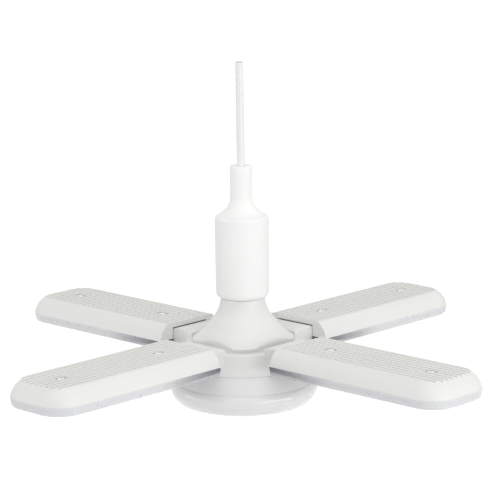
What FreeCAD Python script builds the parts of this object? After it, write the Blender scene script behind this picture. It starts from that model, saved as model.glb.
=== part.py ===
import FreeCAD, Part
import os
from math import atan2, cos, hypot, pi, sin, sqrt

import Sketcher
from FreeCAD import Placement, Rotation, Vector

# A screw-in grow light with four folding blades, hanging in a corded lampholder.
# Millimetres, +Z up. The origin is the middle of the cord's upper end, so every level below it is negative.
# The four blades reach out along +X, +Y, -X and -Y.

# Driving sizes
SIZES = {
    # Cord and lampholder
    "cord_diameter": 6.2,
    "cord_free": 81.0,
    "cord_tail_length": 30.0,
    "cord_tail_diameter": 5.6,
    "core_diameter": 2.2,
    "core_spacing": 3.0,
    "cover_radius": 21.1,
    "cover_wall": 1.9,
    "cover_body_height": 58.0,
    "cover_foot_round": 5.0,
    "cover_shoulder_round": 1.5,
    "cover_shoulder_radius": 14.9,
    "cover_shoulder_rise": 3.7,
    "cover_flare_round": 14.0,
    "cover_neck_radius": 8.7,
    "cover_neck_height": 24.4,
    "cover_top_wall": 4.0,
    "cover_lip_radius": 15.5,
    "cover_lip_height": 2.0,
    "grip_wall": 3.5,
    "grip_height": 14.0,
    "socket_shell_radius": 14.3,
    "socket_shell_wall": 0.8,
    "socket_shell_height": 22.0,
    "socket_floor": 8.0,
    "socket_cup_depth": 12.0,
    "socket_cup_wall": 4.0,
    "contact_head_radius": 4.5,
    "contact_head_height": 1.5,
    "contact_head_room": 1.5,
    "contact_stem_radius": 2.6,
    "contact_travel": 2.9,
    "contact_collar_radius": 4.8,
    "contact_collar_height": 1.5,
    "terminal_width": 6.0,
    "terminal_depth": 8.0,
    "terminal_height": 7.0,
    "terminal_offset": 9.5,
    "terminal_screw_radius": 1.5,
    "terminal_head_radius": 2.4,
    "terminal_head_height": 1.8,
    # Screw cap of the lamp
    "cap_crest_radius": 13.2,
    "cap_thread_depth": 0.8,
    "cap_wall": 0.3,
    "cap_pitch": 3.629,
    "cap_foot": 3.0,
    "cap_spigot_height": 8.0,
    "cap_insulator_radius": 7.0,
    "cap_insulator_height": 4.0,
    "cap_insulator_plug": 1.2,
    "cap_contact_radius": 5.2,
    "cap_contact_height": 2.6,
    "seat_gap": 0.5,
    # Neck and skirt
    "neck_radius": 17.4,
    "neck_wall": 2.0,
    "neck_top": 3.0,
    "neck_bore": 8.0,
    "flare_mid_radius": 25.0,
    "flare_mid_drop": 17.5,
    "flare_upper_round": 29.6,
    "flare_lower_round": 50.0,
    "skirt_radius": 40.0,
    "skirt_drop": 32.7,
    "skirt_edge": 3.3,
    "skirt_lip": 0.8,
    "skirt_flat": 34.0,
    "band_recess": 2.0,
    # Hub
    "drum_radius": 46.0,
    "drum_wall": 3.0,
    "drum_round": 1.5,
    "drum_height": 18.1,
    "drum_floor": 2.5,
    "drum_lid": 2.5,
    "lid_hole_radius": 22.0,
    "wire_hole_radius": 6.0,
    "tongue_half_width": 18.5,
    "tongue_top": 5.6,
    "tongue_arch_centre": 50.6,
    "tongue_arch_half": 10.2,
    "tongue_arch_round": 31.0,
    "tongue_shoulder": 0.4,
    "tongue_edge_round": 1.0,
    "tongue_slot_gap": 5.6,
    "hinge_reach": 66.0,
    "hinge_depth": 12.5,
    "knuckle_radius": 6.0,
    "pin_radius": 2.0,
    "pin_half_length": 27.0,
    "running_clearance": 0.05,
    "hub_screw_circle": 32.5,
    "hub_screw_radius": 1.5,
    "hub_screw_head": 2.8,
    "hub_screw_head_height": 1.2,
    "hub_access_gap": 0.4,
    "hub_screw_boss": 3.2,
    "hub_boss_rise": 0.9,
    # Driver
    "board_thickness": 1.6,
    "driver_half_width": 13.0,
    "driver_height": 39.0,
    "driver_part_lift": 4.0,
    "capacitor_radius": 5.0,
    "capacitor_height": 16.0,
    "capacitor_spacing": 12.0,
    "transformer_width": 15.0,
    "transformer_depth": 12.0,
    "transformer_height": 9.5,
    "lead_radius": 0.6,
    "lead_spacing": 6.0,
    "lead_lap": 6.0,
    "lead_hinge_gap": 2.0,
    "dish_lead_rise": 3.0,
    # Dish
    "dish_wall": 2.2,
    "dish_seam_radius": 54.6,
    "dish_cone_drop": 12.4,
    "dish_top_radius": 46.6,
    "bowl_edge": 0.8,
    "bowl_waist_radius": 57.8,
    "bowl_waist_drop": 20.4,
    "bowl_upper_round": 7.4,
    "bowl_lower_round": 13.8,
    "bowl_foot_radius": 47.0,
    "bowl_foot_drop": 30.3,
    "bowl_floor_round": 285.0,
    "bowl_drop": 34.2,
    "bowl_wall": 2.0,
    "dish_board_radius": 48.0,
    "dish_board_drop": 16.6,
    "dish_boss_radius": 3.4,
    "dish_boss_circle": 28.0,
    "dish_screw_circle": 15.0,
    "small_screw_radius": 1.4,
    "small_screw_head": 2.6,
    "small_screw_head_height": 1.5,
    "board_screw_length": 7.0,
    # Blades
    "blade_rise": 8.5,
    "blade_inner": 60.0,
    "blade_tip": 225.0,
    "blade_half_width": 33.6,
    "blade_corner": 22.0,
    "blade_height": 12.6,
    "blade_mid_height": 7.0,
    "blade_mid_inset": 2.6,
    "blade_top_inset": 8.1,
    "blade_tip_slope": 1.4,
    "blade_wall": 2.0,
    "blade_roof": 2.6,
    "hinge_block": 16.0,
    "mouth_clearance": 0.5,
    "knuckle_clearance": 0.8,
    "rib_pitch": 5.2,
    "groove_width": 2.6,
    "groove_floor": 1.2,
    "groove_depth": 1.0,
    "screw_inner": 92.8,
    "screw_outer": 192.0,
    "recess_half_length": 5.5,
    "recess_half_width": 3.2,
    "recess_depth": 1.7,
    "blade_screw_head": 2.8,
    "blade_screw_head_height": 1.0,
    "blade_screw_radius": 1.5,
    "blade_boss_radius": 3.6,
    "blade_board_gap": 1.0,
    "blade_board_inset": 6.0,
    "blade_board_start": 2.0,
    # Lenses
    "lens_height": 7.2,
    "lens_flange": 2.4,
    "lens_step": 0.6,
    "lens_wall": 1.7,
    "lens_edge_round": 2.2,
    "lens_tab_width": 2.0,
    "lens_tab_height": 1.8,
    "lens_tab_inner": 104.0,
    "lens_tab_outer": 186.0,
    # Light chips
    "chip_size": 3.0,
    "chip_height": 0.8,
    "chip_pitch": 9.0,
    "chip_row_pitch": 14.0,
    "chip_screw_room": 5.0,
    "dish_ring_inner": 20.0,
    "dish_ring_outer": 37.0,
}
BLADE_COUNT = 4
GROOVE_COUNT = 9
CAP_TURNS = 5
CHIP_ROWS = 3
CHIP_COLUMNS = 14
DISH_CHIPS_INNER = 8
DISH_CHIPS_OUTER = 16
DISH_SCREW_COUNT = 3

doc = FreeCAD.newDocument("GrowLight")
sheet = doc.addObject("Spreadsheet::Sheet", "Sizes")
sheet_rows = []


# Sizes that know their sheet formula
class Size:
    """A number together with the sheet formula that gives it."""

    def __init__(self, value, formula):
        self.value = float(value)
        self.formula = formula

    def __add__(self, other):
        other = as_size(other)
        return Size(self.value + other.value, f"({self.formula} + {other.formula})")

    def __sub__(self, other):
        other = as_size(other)
        return Size(self.value - other.value, f"({self.formula} - {other.formula})")

    def __mul__(self, other):
        other = as_size(other)
        return Size(self.value * other.value, f"({self.formula} * {other.formula})")

    def __truediv__(self, other):
        other = as_size(other)
        return Size(self.value / other.value, f"({self.formula} / {other.formula})")

    def __neg__(self):
        return Size(-self.value, f"(0 - {self.formula})")


def as_size(item):
    return item if isinstance(item, Size) else Size(item, repr(float(item)))


def root(item):
    return Size(sqrt(item.value), f"sqrt({item.formula})")


def cell(name, text, value):
    """Writes one aliased cell and gives back the size that refers to it."""
    sheet_rows.append(name)
    row = len(sheet_rows)
    sheet.set(f"A{row}", name)
    sheet.set(f"B{row}", text)
    sheet.setAlias(f"B{row}", name)
    return Size(value, f"Sizes.{name}")


def derived(name, item):
    """Puts a worked-out size in the sheet under its own name."""
    return cell(name, "=" + item.formula.replace("Sizes.", ""), item.value)


class SheetSizes:
    """The driving sizes by name."""

    def __init__(self, sizes):
        for name, value in sizes.items():
            setattr(self, name, cell(name, str(value), value))


size = SheetSizes(SIZES)
ZERO = as_size(0)

# Sizes worked out from the driving ones
cord_radius = derived("cord_radius", size.cord_diameter / 2)
tail_radius = derived("tail_radius", size.cord_tail_diameter / 2)
flare_side = size.cover_flare_round - size.cover_shoulder_radius + size.cover_neck_radius
flare_rise = derived("flare_rise", root(size.cover_flare_round * size.cover_flare_round - flare_side * flare_side))
cover_straight = derived("cover_straight", size.cover_foot_round + size.cover_body_height)
cover_shoulder = derived("cover_shoulder", cover_straight + size.cover_shoulder_round)
cover_flare = derived("cover_flare", cover_shoulder + size.cover_shoulder_rise)
cover_neck = derived("cover_neck", cover_flare + flare_rise)
cover_height = derived("cover_height", cover_neck + size.cover_neck_height)
cover_bore = derived("cover_bore", size.cover_radius - size.cover_wall)
cap_height = derived("cap_height", size.cap_foot + size.cap_pitch * CAP_TURNS)
cap_root_radius = derived("cap_root_radius", size.cap_crest_radius - size.cap_thread_depth)
cap_bore = derived("cap_bore", cap_root_radius - size.cap_wall)
cap_total = size.cap_insulator_height + size.cap_contact_height + cap_height
contact_tip = derived("contact_tip", cap_total - size.seat_gap)
contact_head_top = derived("contact_head_top", contact_tip + size.contact_head_height)
socket_roof = derived("socket_roof", contact_head_top + size.contact_head_room)
socket_cup = derived("socket_cup", socket_roof + size.socket_floor)
band_radius = derived("band_radius", size.skirt_radius - size.band_recess)
drum_bore = derived("drum_bore", size.drum_radius - size.drum_wall)
hinge_offset = derived("hinge_offset", size.blade_rise - size.hinge_depth)
mouth_half_width = derived("mouth_half_width", size.tongue_half_width + size.mouth_clearance)
knuckle_room = derived("knuckle_room", size.knuckle_radius + size.knuckle_clearance)
blade_board_top = derived("blade_board_top", -size.blade_height + size.blade_board_gap + size.board_thickness)
cavity_start = derived("cavity_start", size.blade_inner + size.hinge_block)
blade_lead_level = derived("blade_lead_level", blade_board_top + size.lead_radius)

# Levels, stacked down from the cord's upper end
cover_top = derived("cover_top", -size.cord_free)
mouth_level = derived("mouth_level", cover_top - cover_height)
seat_level = derived("seat_level", mouth_level - size.seat_gap)
hub_level = derived("hub_level", seat_level - size.skirt_drop - size.skirt_edge)
dish_level = derived("dish_level", hub_level - size.drum_height)
blade_level = derived("blade_level", hub_level + size.blade_rise)
doc.recompute()


# Document helpers
def bind(item, **formulas):
    """Ties properties to sheet formulas; Placement_Base_z stands for Placement.Base.z."""
    for name, formula in formulas.items():
        item.setExpression(name.replace("_", "."), as_size(formula).formula)


def new_body(label, level=ZERO, turn=0):
    body = doc.addObject("PartDesign::Body", label)
    body.Label = label
    body.Placement = Placement(Vector(0, 0, level.value), Rotation(Vector(0, 0, 1), turn))
    bind(body, Placement_Base_z=level)
    return body


def sketch_on(body, plane, level=None):
    sketch = body.newObject("Sketcher::SketchObject", body.Label + "_sketch")
    support = next(item for item in body.Origin.OriginFeatures if item.Role == plane)
    sketch.AttachmentSupport = [(support, "")]
    sketch.MapMode = "FlatFace"
    if level is not None:
        sketch.AttachmentOffset = Placement(Vector(0, 0, level.value), Rotation())
        bind(sketch, AttachmentOffset_Base_z=level)
    return sketch


def tie(sketch, constraint, name, formula):
    index = sketch.addConstraint(constraint)
    sketch.renameConstraint(index, name)
    sketch.setExpression("Constraints." + name, as_size(formula).formula)


def place_point(sketch, edge, end, x, y):
    """Dimensions one point of an edge from the sketch's origin."""
    tie(sketch, Sketcher.Constraint("DistanceX", -1, 1, edge, end, as_size(x).value), f"across_{edge}", x)
    tie(sketch, Sketcher.Constraint("DistanceY", -1, 1, edge, end, as_size(y).value), f"up_{edge}", y)


def arc_between(start, end, radius, side):
    """The arc of under half a circle from start to end; side +1 has its centre to the left of the way."""
    run = end - start
    half = run.Length / 2
    left = Vector(-run.y, run.x, 0).normalize()
    centre = (start + end) * 0.5 + left * (side * sqrt(max(radius * radius - half * half, 0)))
    first, last = (start, end) if side > 0 else (end, start)
    first_angle = atan2(first.y - centre.y, first.x - centre.x)
    last_angle = atan2(last.y - centre.y, last.x - centre.x)
    if last_angle < first_angle:
        last_angle += 2 * pi
    return Part.ArcOfCircle(Part.Circle(centre, Vector(0, 0, 1), radius), first_angle, last_angle)


def draw(sketch, corners):
    """Closes an outline. A corner is (x, y), or (x, y, radius, side) where an arc leads to it."""
    first_edge = sketch.GeometryCount
    points = [Vector(as_size(corner[0]).value, as_size(corner[1]).value, 0) for corner in corners]
    ends = []
    for i, corner in enumerate(corners):
        if len(corner) == 2:
            sketch.addGeometry(Part.LineSegment(points[i - 1], points[i]))
            ends.append((1, 2))
        else:
            sketch.addGeometry(arc_between(points[i - 1], points[i], as_size(corner[2]).value, corner[3]))
            ends.append((1, 2) if corner[3] > 0 else (2, 1))
    for i, corner in enumerate(corners):
        edge = first_edge + i
        j = (i + 1) % len(corners)
        sketch.addConstraint(Sketcher.Constraint("Coincident", edge, ends[i][1], first_edge + j, ends[j][0]))
        place_point(sketch, edge, ends[i][1], corner[0], corner[1])
        if len(corner) == 4:
            radius = as_size(corner[2])
            tie(sketch, Sketcher.Constraint("Radius", edge, radius.value), f"round_{edge}", radius)


def draw_circles(sketch, spots, radius):
    for x, y in spots:
        centre = Vector(as_size(x).value, as_size(y).value, 0)
        edge = sketch.addGeometry(Part.Circle(centre, Vector(0, 0, 1), radius.value))
        place_point(sketch, edge, 3, x, y)
        tie(sketch, Sketcher.Constraint("Radius", edge, radius.value), f"round_{edge}", radius)


def rectangle(low_x, low_y, high_x, high_y):
    return [(low_x, low_y), (high_x, low_y), (high_x, high_y), (low_x, high_y)]


def revolved(label, corners, level):
    """A turned piece: the outline is radius and height, about the part's own axis."""
    body = new_body(label, level)
    sketch = sketch_on(body, "XZ_Plane")
    draw(sketch, corners)
    turned = body.newObject("PartDesign::Revolution", label + "_turned")
    turned.Profile = sketch
    turned.ReferenceAxis = (sketch, ["V_Axis"])
    turned.Angle = 360
    return body


def pad(body, sketch, length, midplane=False, reverse=False):
    feature = body.newObject("PartDesign::Pad", body.Label + "_pad")
    feature.Profile = sketch
    feature.Midplane = midplane
    feature.Reversed = reverse
    bind(feature, Length=length)


def pocket(body, sketch, length, midplane=False, reverse=False):
    feature = body.newObject("PartDesign::Pocket", body.Label + "_pocket")
    feature.Profile = sketch
    feature.Midplane = midplane
    feature.Reversed = reverse
    bind(feature, Length=length)


def drawn(body, plane, outlines, level=None):
    sketch = sketch_on(body, plane, level)
    for corners in outlines:
        draw(sketch, corners)
    return sketch


def circles(body, plane, spots, radius, level=None):
    sketch = sketch_on(body, plane, level)
    draw_circles(sketch, spots, radius)
    return sketch


def loft(body, kind, sections):
    """A skin over outlines drawn at their levels."""
    sketches = [drawn(body, "XY_Plane", [corners], level) for level, corners in sections]
    feature = body.newObject(kind, body.Label + "_loft")
    feature.Profile = sketches[0]
    feature.Sections = sketches[1:]


def round_edges(body, radius, wanted):
    """Rounds the edges of the body's last feature that wanted() picks by their middle point."""
    doc.recompute()
    base = body.Tip
    names = []
    for i, edge in enumerate(base.Shape.Edges, start=1):
        if wanted(edge.valueAt((edge.FirstParameter + edge.LastParameter) / 2)):
            names.append(f"Edge{i}")
    fillet = body.newObject("PartDesign::Fillet", body.Label + "_round")
    fillet.Base = (base, names)
    bind(fillet, Radius=radius)


def cylinder(name, radius, height, x, y, z):
    item = doc.addObject("Part::Cylinder", name)
    item.Label = name
    bind(item, Radius=radius, Height=height, Placement_Base_x=x, Placement_Base_y=y, Placement_Base_z=z)
    return item


def radial(name, radius, start, end, level, turn):
    """A cylinder that lies outwards along a blade's direction."""
    item = doc.addObject("Part::Cylinder", name)
    item.Label = name
    item.Placement = Placement(Vector(), Rotation(Vector(0, 0, 1), turn) * Rotation(Vector(0, 1, 0), 90))
    across, along = round(cos(turn * pi / 180)), round(sin(turn * pi / 180))
    bind(item, Radius=radius, Height=end - start)
    bind(item, Placement_Base_x=start * across, Placement_Base_y=start * along, Placement_Base_z=level)
    return item


def box(name, size_x, size_y, size_z, x, y, z):
    item = doc.addObject("Part::Box", name)
    item.Label = name
    bind(item, Length=size_x, Width=size_y, Height=size_z)
    bind(item, Placement_Base_x=x, Placement_Base_y=y, Placement_Base_z=z)
    return item


def joined(kind, label, items):
    """A Part::MultiFuse, Part::MultiCommon or Part::Compound of the items."""
    item = doc.addObject(kind, label)
    item.Label = label
    setattr(item, "Links" if kind == "Part::Compound" else "Shapes", items)
    return item


def cut(label, base, tool):
    item = doc.addObject("Part::Cut", label)
    item.Label = label
    item.Base = base
    item.Tool = tool
    return item


def shaped(label, shape, placement=None):
    """A piece made directly as a shape, where no parametric feature fits."""
    item = doc.addObject("Part::Feature", label)
    item.Label = label
    item.Shape = shape
    if placement is not None:
        item.Placement = placement
    return item


def around(count, radius, first_turn=0):
    """Evenly spaced (x, y) spots on a circle."""
    turns = [(first_turn + 360 * i / count) * pi / 180 for i in range(count)]
    return [(radius * round(cos(turn), 12), radius * round(sin(turn), 12)) for turn in turns]


def screw(name, spot, head_foot, sizes, length, head_up):
    """One screw; sizes are its head's radius and height and its shank's radius."""
    head_radius, head_height, radius = sizes
    head_level = head_foot if head_up else head_foot - head_height
    shank_level = head_foot - length if head_up else head_foot
    head = cylinder(name + "_head", head_radius, head_height, spot[0], spot[1], head_level)
    shank = cylinder(name + "_shank", radius, length, spot[0], spot[1], shank_level)
    return joined("Part::MultiFuse", name, [head, shank])


def screw_group(label, spots, head_foot, sizes, length, head_up):
    screws = [screw(f"{label}_{i}", spot, head_foot, sizes, length, head_up) for i, spot in enumerate(spots, 1)]
    return joined("Part::Compound", label, screws)


HUB_SCREW = (size.hub_screw_head, size.hub_screw_head_height, size.hub_screw_radius)
SMALL_SCREW = (size.small_screw_head, size.small_screw_head_height, size.small_screw_radius)
BLADE_SCREW = (size.blade_screw_head, size.blade_screw_head_height, size.blade_screw_radius)
TERMINAL_SCREW = (size.terminal_head_radius, size.terminal_head_height, size.terminal_screw_radius)
BLADE_TURNS = [360 * i / BLADE_COUNT for i in range(BLADE_COUNT)]
HUB_SPOTS = around(BLADE_COUNT, size.hub_screw_circle, 45)
DISH_SPOTS = around(DISH_SCREW_COUNT, size.dish_screw_circle)
BOSS_SPOTS = around(DISH_SCREW_COUNT, size.dish_boss_circle, 60)


# Cord and its grip
def make_cord():
    tail_level = cover_top - size.cord_tail_length
    grip_top = cover_height - size.cover_top_wall
    grip = rectangle(tail_radius, grip_top - size.grip_height, tail_radius + size.grip_wall, grip_top)
    return [cylinder("cord", cord_radius, size.cord_free, 0, 0, cover_top),
            cylinder("cord_tail", tail_radius, size.cord_tail_length, 0, 0, tail_level),
            revolved("cord_grip", grip, mouth_level)]


# Soft sleeve over the lampholder, drawn up from its mouth
def make_cover():
    neck_bore = tail_radius + size.grip_wall
    neck_roof = cover_height - size.cover_top_wall
    return revolved("holder_cover", [
        (size.cover_lip_radius, 0),
        (size.cover_radius - size.cover_foot_round, 0),
        (size.cover_radius, size.cover_foot_round, size.cover_foot_round, 1),
        (size.cover_radius, cover_straight),
        (size.cover_radius - size.cover_shoulder_round, cover_shoulder, size.cover_shoulder_round, 1),
        (size.cover_shoulder_radius, cover_flare),
        (size.cover_neck_radius, cover_neck, size.cover_flare_round, -1),
        (size.cover_neck_radius, cover_height),
        (tail_radius, cover_height),
        (tail_radius, neck_roof),
        (neck_bore, neck_roof),
        (neck_bore, cover_flare),
        (cover_bore, cover_straight),
        (cover_bore, size.cover_lip_height),
        (size.cover_lip_radius, size.cover_lip_height),
    ], mouth_level)


# Lampholder inside the sleeve
def make_socket():
    stem_bore = size.contact_stem_radius + size.running_clearance
    cup_radius = cover_bore - size.socket_cup_wall
    rim = socket_cup + size.socket_cup_depth
    body = revolved("socket_body", [
        (size.socket_shell_radius, size.cover_lip_height),
        (cover_bore, size.cover_lip_height),
        (cover_bore, rim),
        (cup_radius, rim),
        (cup_radius, socket_cup),
        (stem_bore, socket_cup),
        (stem_bore, socket_roof),
        (size.socket_shell_radius, socket_roof),
    ], mouth_level)
    shell_bore = size.socket_shell_radius - size.socket_shell_wall
    shell = revolved("socket_screw_shell", rectangle(
        shell_bore, socket_roof - size.socket_shell_height, size.socket_shell_radius, socket_roof), mouth_level)
    collar = socket_cup + size.contact_travel
    contact = revolved("socket_contact", [
        (0, contact_tip),
        (size.contact_head_radius, contact_tip),
        (size.contact_head_radius, contact_head_top),
        (size.contact_stem_radius, contact_head_top),
        (size.contact_stem_radius, collar),
        (size.contact_collar_radius, collar),
        (size.contact_collar_radius, collar + size.contact_collar_height),
        (0, collar + size.contact_collar_height),
    ], mouth_level)
    return [body, shell, contact] + make_terminals()


def make_terminals():
    """Two terminal blocks on the socket's floor, their screws and the cores that reach them."""
    floor = mouth_level + socket_cup
    top = floor + size.terminal_height
    spots = [(size.terminal_offset * side, size.terminal_depth / 4) for side in (1, -1)]
    blocks = []
    for i, (x, y) in enumerate(spots, start=1):
        blank = box(f"terminal_{i}_blank", size.terminal_width, size.terminal_depth, size.terminal_height,
                    x - size.terminal_width / 2, -size.terminal_depth / 2, floor)
        bore = cylinder(f"terminal_{i}_bore", size.terminal_screw_radius, size.terminal_height, x, y, floor)
        blocks.append(cut(f"terminal_{i}", blank, bore))
    cores = [core_shape(side, top.value) for side in (1, -1)]
    return [joined("Part::Compound", "terminals", blocks),
            screw_group("terminal_screws", spots, top, TERMINAL_SCREW, size.terminal_height, True),
            shaped("cord_cores", Part.makeCompound(cores))]


def core_shape(side, terminal_top):
    """One insulated core, bent from the end of the flex to the top of its terminal block."""
    radius = size.core_diameter.value / 2
    start = Vector(size.core_spacing.value / 2 * side, 0, (cover_top - size.cord_tail_length).value)
    end = Vector(size.terminal_offset.value * side, -size.terminal_depth.value / 4, terminal_top)
    middle = (start.z + end.z) / 2
    knees = [start, Vector(start.x, start.y, middle + radius), Vector(end.x, end.y, middle - radius), end]
    runs = []
    for first, last in zip(knees, knees[1:]):
        run = last - first
        runs.append(Part.makeCylinder(radius, run.Length, first, run))
    elbows = [Part.makeSphere(radius, knee) for knee in knees[1:-1]]
    return runs[0].multiFuse(runs[1:] + elbows).removeSplitter()


# Screw cap, drawn up from the lamp's seat
def make_cap():
    thread = []
    for turn in range(CAP_TURNS):
        thread.append((size.cap_crest_radius, size.cap_foot + size.cap_pitch * (turn + 0.5)))
        thread.append((cap_root_radius, size.cap_foot + size.cap_pitch * (turn + 1)))
    shell = revolved("cap_shell", [(cap_bore, 0), (cap_root_radius, 0), (cap_root_radius, size.cap_foot)]
                     + thread + [(cap_bore, cap_height)], seat_level)
    plug = cap_height - size.cap_insulator_plug
    collar = cap_height + size.cap_insulator_height
    insulator = revolved("cap_insulator", [
        (0, plug),
        (cap_bore, plug),
        (cap_bore, cap_height),
        (cap_root_radius, cap_height),
        (size.cap_insulator_radius, collar),
        (0, collar),
    ], seat_level)
    button = revolved("cap_contact", [
        (0, collar),
        (size.cap_contact_radius, collar),
        (size.cap_contact_radius, collar + size.cap_contact_height / 2),
        (size.cap_contact_radius / 2, collar + size.cap_contact_height),
        (0, collar + size.cap_contact_height),
    ], seat_level)
    return [shell, insulator, button]


# Trumpet neck and skirt with four flats, drawn down from the lamp's seat
def make_neck():
    foot = -size.skirt_drop - size.skirt_edge
    outside = revolved("neck_outside", [
        (size.neck_bore, foot),
        (band_radius, foot),
        (band_radius, -size.skirt_drop - size.skirt_lip),
        (size.skirt_radius, -size.skirt_drop - size.skirt_lip),
        (size.skirt_radius, -size.skirt_drop),
        (size.flare_mid_radius, -size.flare_mid_drop, size.flare_lower_round, -1),
        (size.neck_radius, 0, size.flare_upper_round, -1),
        (cap_bore, 0),
        (cap_bore, size.cap_spigot_height),
        (size.neck_bore, size.cap_spigot_height),
    ], seat_level)
    inner_edge = band_radius - size.neck_wall
    inside = revolved("neck_inside", [
        (0, foot),
        (inner_edge, foot),
        (inner_edge, -size.skirt_drop - size.neck_wall),
        (size.flare_mid_radius - size.neck_wall * 0.75, -size.flare_mid_drop - size.neck_wall * 0.66,
         size.flare_lower_round + size.neck_wall, -1),
        (size.neck_radius - size.neck_wall, -size.neck_top, size.flare_upper_round + size.neck_wall, -1),
        (0, -size.neck_top),
    ], seat_level)
    flat_inside = size.skirt_flat - size.neck_wall
    height = size.skirt_drop + size.skirt_edge + size.cap_spigot_height
    outer_block = square_block("neck_outer_block", size.skirt_flat, height)
    inner_block = square_block("neck_inner_block", flat_inside, height)
    shell = cut("neck_shell",
                joined("Part::MultiCommon", "neck_outer", [outside, outer_block]),
                joined("Part::MultiCommon", "neck_inner", [inside, inner_block]))
    boss_height = size.skirt_edge + size.hub_boss_rise
    bosses = [cylinder(f"neck_boss_{i}", size.hub_screw_boss, boss_height, x, y, hub_level)
              for i, (x, y) in enumerate(HUB_SPOTS, start=1)]
    bores = [cylinder(f"neck_boss_{i}_bore", size.hub_screw_radius, size.skirt_edge, x, y, hub_level)
             for i, (x, y) in enumerate(HUB_SPOTS, start=1)]
    return cut("neck_housing",
               joined("Part::MultiFuse", "neck_with_bosses", [shell] + bosses),
               joined("Part::Compound", "neck_bores", bores))


def square_block(name, half, height):
    return box(name, half * 2, half * 2, height, -half, -half, hub_level)


# Hub: a drum under the skirt, closed by a lid above and a floor below, and four hinge tongues
def make_hub():
    floor = -size.drum_height + size.drum_floor
    drum = revolved("hub_drum", [
        (size.wire_hole_radius, -size.drum_height),
        (size.drum_radius, -size.drum_height),
        (size.drum_radius, -size.drum_round),
        (size.drum_radius - size.drum_round, 0, size.drum_round, 1),
        (size.lid_hole_radius, 0),
        (size.lid_hole_radius, -size.drum_lid),
        (drum_bore, -size.drum_lid),
        (drum_bore, floor),
        (size.wire_hole_radius, floor),
    ], hub_level)
    tongues = [make_tongue(i) for i in range(BLADE_COUNT)]
    lid_foot = hub_level - size.drum_lid
    holes = [cylinder(f"hub_hole_{i}", size.hub_screw_radius, size.drum_lid, x, y, lid_foot)
             for i, (x, y) in enumerate(HUB_SPOTS, start=1)]
    access_radius = size.hub_screw_head + size.hub_access_gap
    holes += [cylinder(f"hub_access_{i}", access_radius, size.drum_floor, x, y, dish_level)
              for i, (x, y) in enumerate(HUB_SPOTS, start=1)]
    holes += [cylinder(f"hub_floor_hole_{i}", size.small_screw_radius, size.drum_floor, x, y, dish_level)
              for i, (x, y) in enumerate(DISH_SPOTS, start=1)]
    holes += [radial(f"hub_lead_bore_{i + 1}", size.lead_radius, size.lid_hole_radius,
                     size.hinge_reach + size.knuckle_radius, blade_level + blade_lead_level, turn)
              for i, turn in enumerate(BLADE_TURNS)]
    return cut("hub_body",
               joined("Part::MultiFuse", "hub_whole", [drum] + tongues),
               joined("Part::Compound", "hub_holes", holes))


def make_tongue(index):
    """One hinge tongue: an arched top, a round end about the hinge and a bore for the pin."""
    arch_side = root(size.tongue_arch_round * size.tongue_arch_round - size.tongue_arch_half * size.tongue_arch_half)
    arch_foot = size.tongue_top - size.tongue_arch_round + arch_side
    arch_start = size.tongue_arch_centre - size.tongue_arch_half
    arch_end = size.tongue_arch_centre + size.tongue_arch_half
    heel = size.skirt_flat + size.tongue_slot_gap
    bore_chord = root(drum_bore * drum_bore - size.tongue_half_width * size.tongue_half_width)
    root_radius = bore_chord + size.drum_wall / 2
    body = new_body(f"hub_tongue_{index + 1}", hub_level, BLADE_TURNS[index])
    outline = [
        (root_radius, hinge_offset - size.knuckle_radius),
        (size.hinge_reach, hinge_offset - size.knuckle_radius),
        (size.hinge_reach + size.knuckle_radius, hinge_offset, size.knuckle_radius, 1),
        (size.hinge_reach, hinge_offset + size.knuckle_radius, size.knuckle_radius, 1),
        (arch_end, arch_foot),
        (arch_start, arch_foot, size.tongue_arch_round, 1),
        (heel, arch_foot - size.tongue_shoulder),
        (heel, 0),
        (root_radius, 0),
    ]
    pad(body, drawn(body, "XZ_Plane", [outline]), size.tongue_half_width * 2, midplane=True)
    low = (hinge_offset + size.knuckle_radius - size.tongue_shoulder).value

    def on_rim(spot):
        at_side = abs(abs(spot.y) - size.tongue_half_width.value) < 1e-6
        return at_side and spot.z > low and heel.value + 0.01 < spot.x < size.hinge_reach.value

    round_edges(body, size.tongue_edge_round, on_rim)
    bore = circles(body, "XZ_Plane", [(size.hinge_reach, hinge_offset)], size.pin_radius + size.running_clearance)
    pocket(body, bore, size.tongue_half_width * 2, midplane=True)
    return body


# Driver standing in the drum and the neck
def make_driver():
    floor = dish_level + size.drum_floor
    half = size.board_thickness / 2
    parts_level = floor + size.driver_part_lift
    board = box("driver_board", size.driver_half_width * 2, size.board_thickness, size.driver_height,
                -size.driver_half_width, -half, floor)
    capacitors = [cylinder(f"driver_capacitor_{i}", size.capacitor_radius, size.capacitor_height,
                           size.capacitor_spacing / 2 * side, half + size.capacitor_radius, parts_level)
                  for i, side in ((1, 1), (2, -1))]
    transformer = box("driver_transformer", size.transformer_width, size.transformer_depth,
                      size.transformer_height, -size.transformer_width / 2,
                      -half - size.transformer_depth, parts_level)
    lead_foot = floor + size.driver_height
    lead_top = seat_level + cap_height - size.cap_insulator_plug
    leads = [cylinder(f"lamp_lead_{i}", size.lead_radius, lead_top - lead_foot,
                      size.lead_spacing / 2 * side, 0, lead_foot)
             for i, side in ((1, 1), (2, -1))]
    return [board, joined("Part::Compound", "driver_capacitors", capacitors), transformer,
            joined("Part::Compound", "lamp_leads", leads), make_hub_leads(), make_dish_leads(floor)]


def make_hub_leads():
    """Four leads from the driver board through the tongues, ending beside the hinges."""
    starts = [size.driver_half_width, size.board_thickness / 2] * 2
    end = size.hinge_reach + size.knuckle_radius - size.lead_hinge_gap
    leads = [radial(f"hub_lead_{i + 1}", size.lead_radius, starts[i], end, blade_level + blade_lead_level, turn)
             for i, turn in enumerate(BLADE_TURNS)]
    return joined("Part::Compound", "hub_leads", leads)


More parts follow.
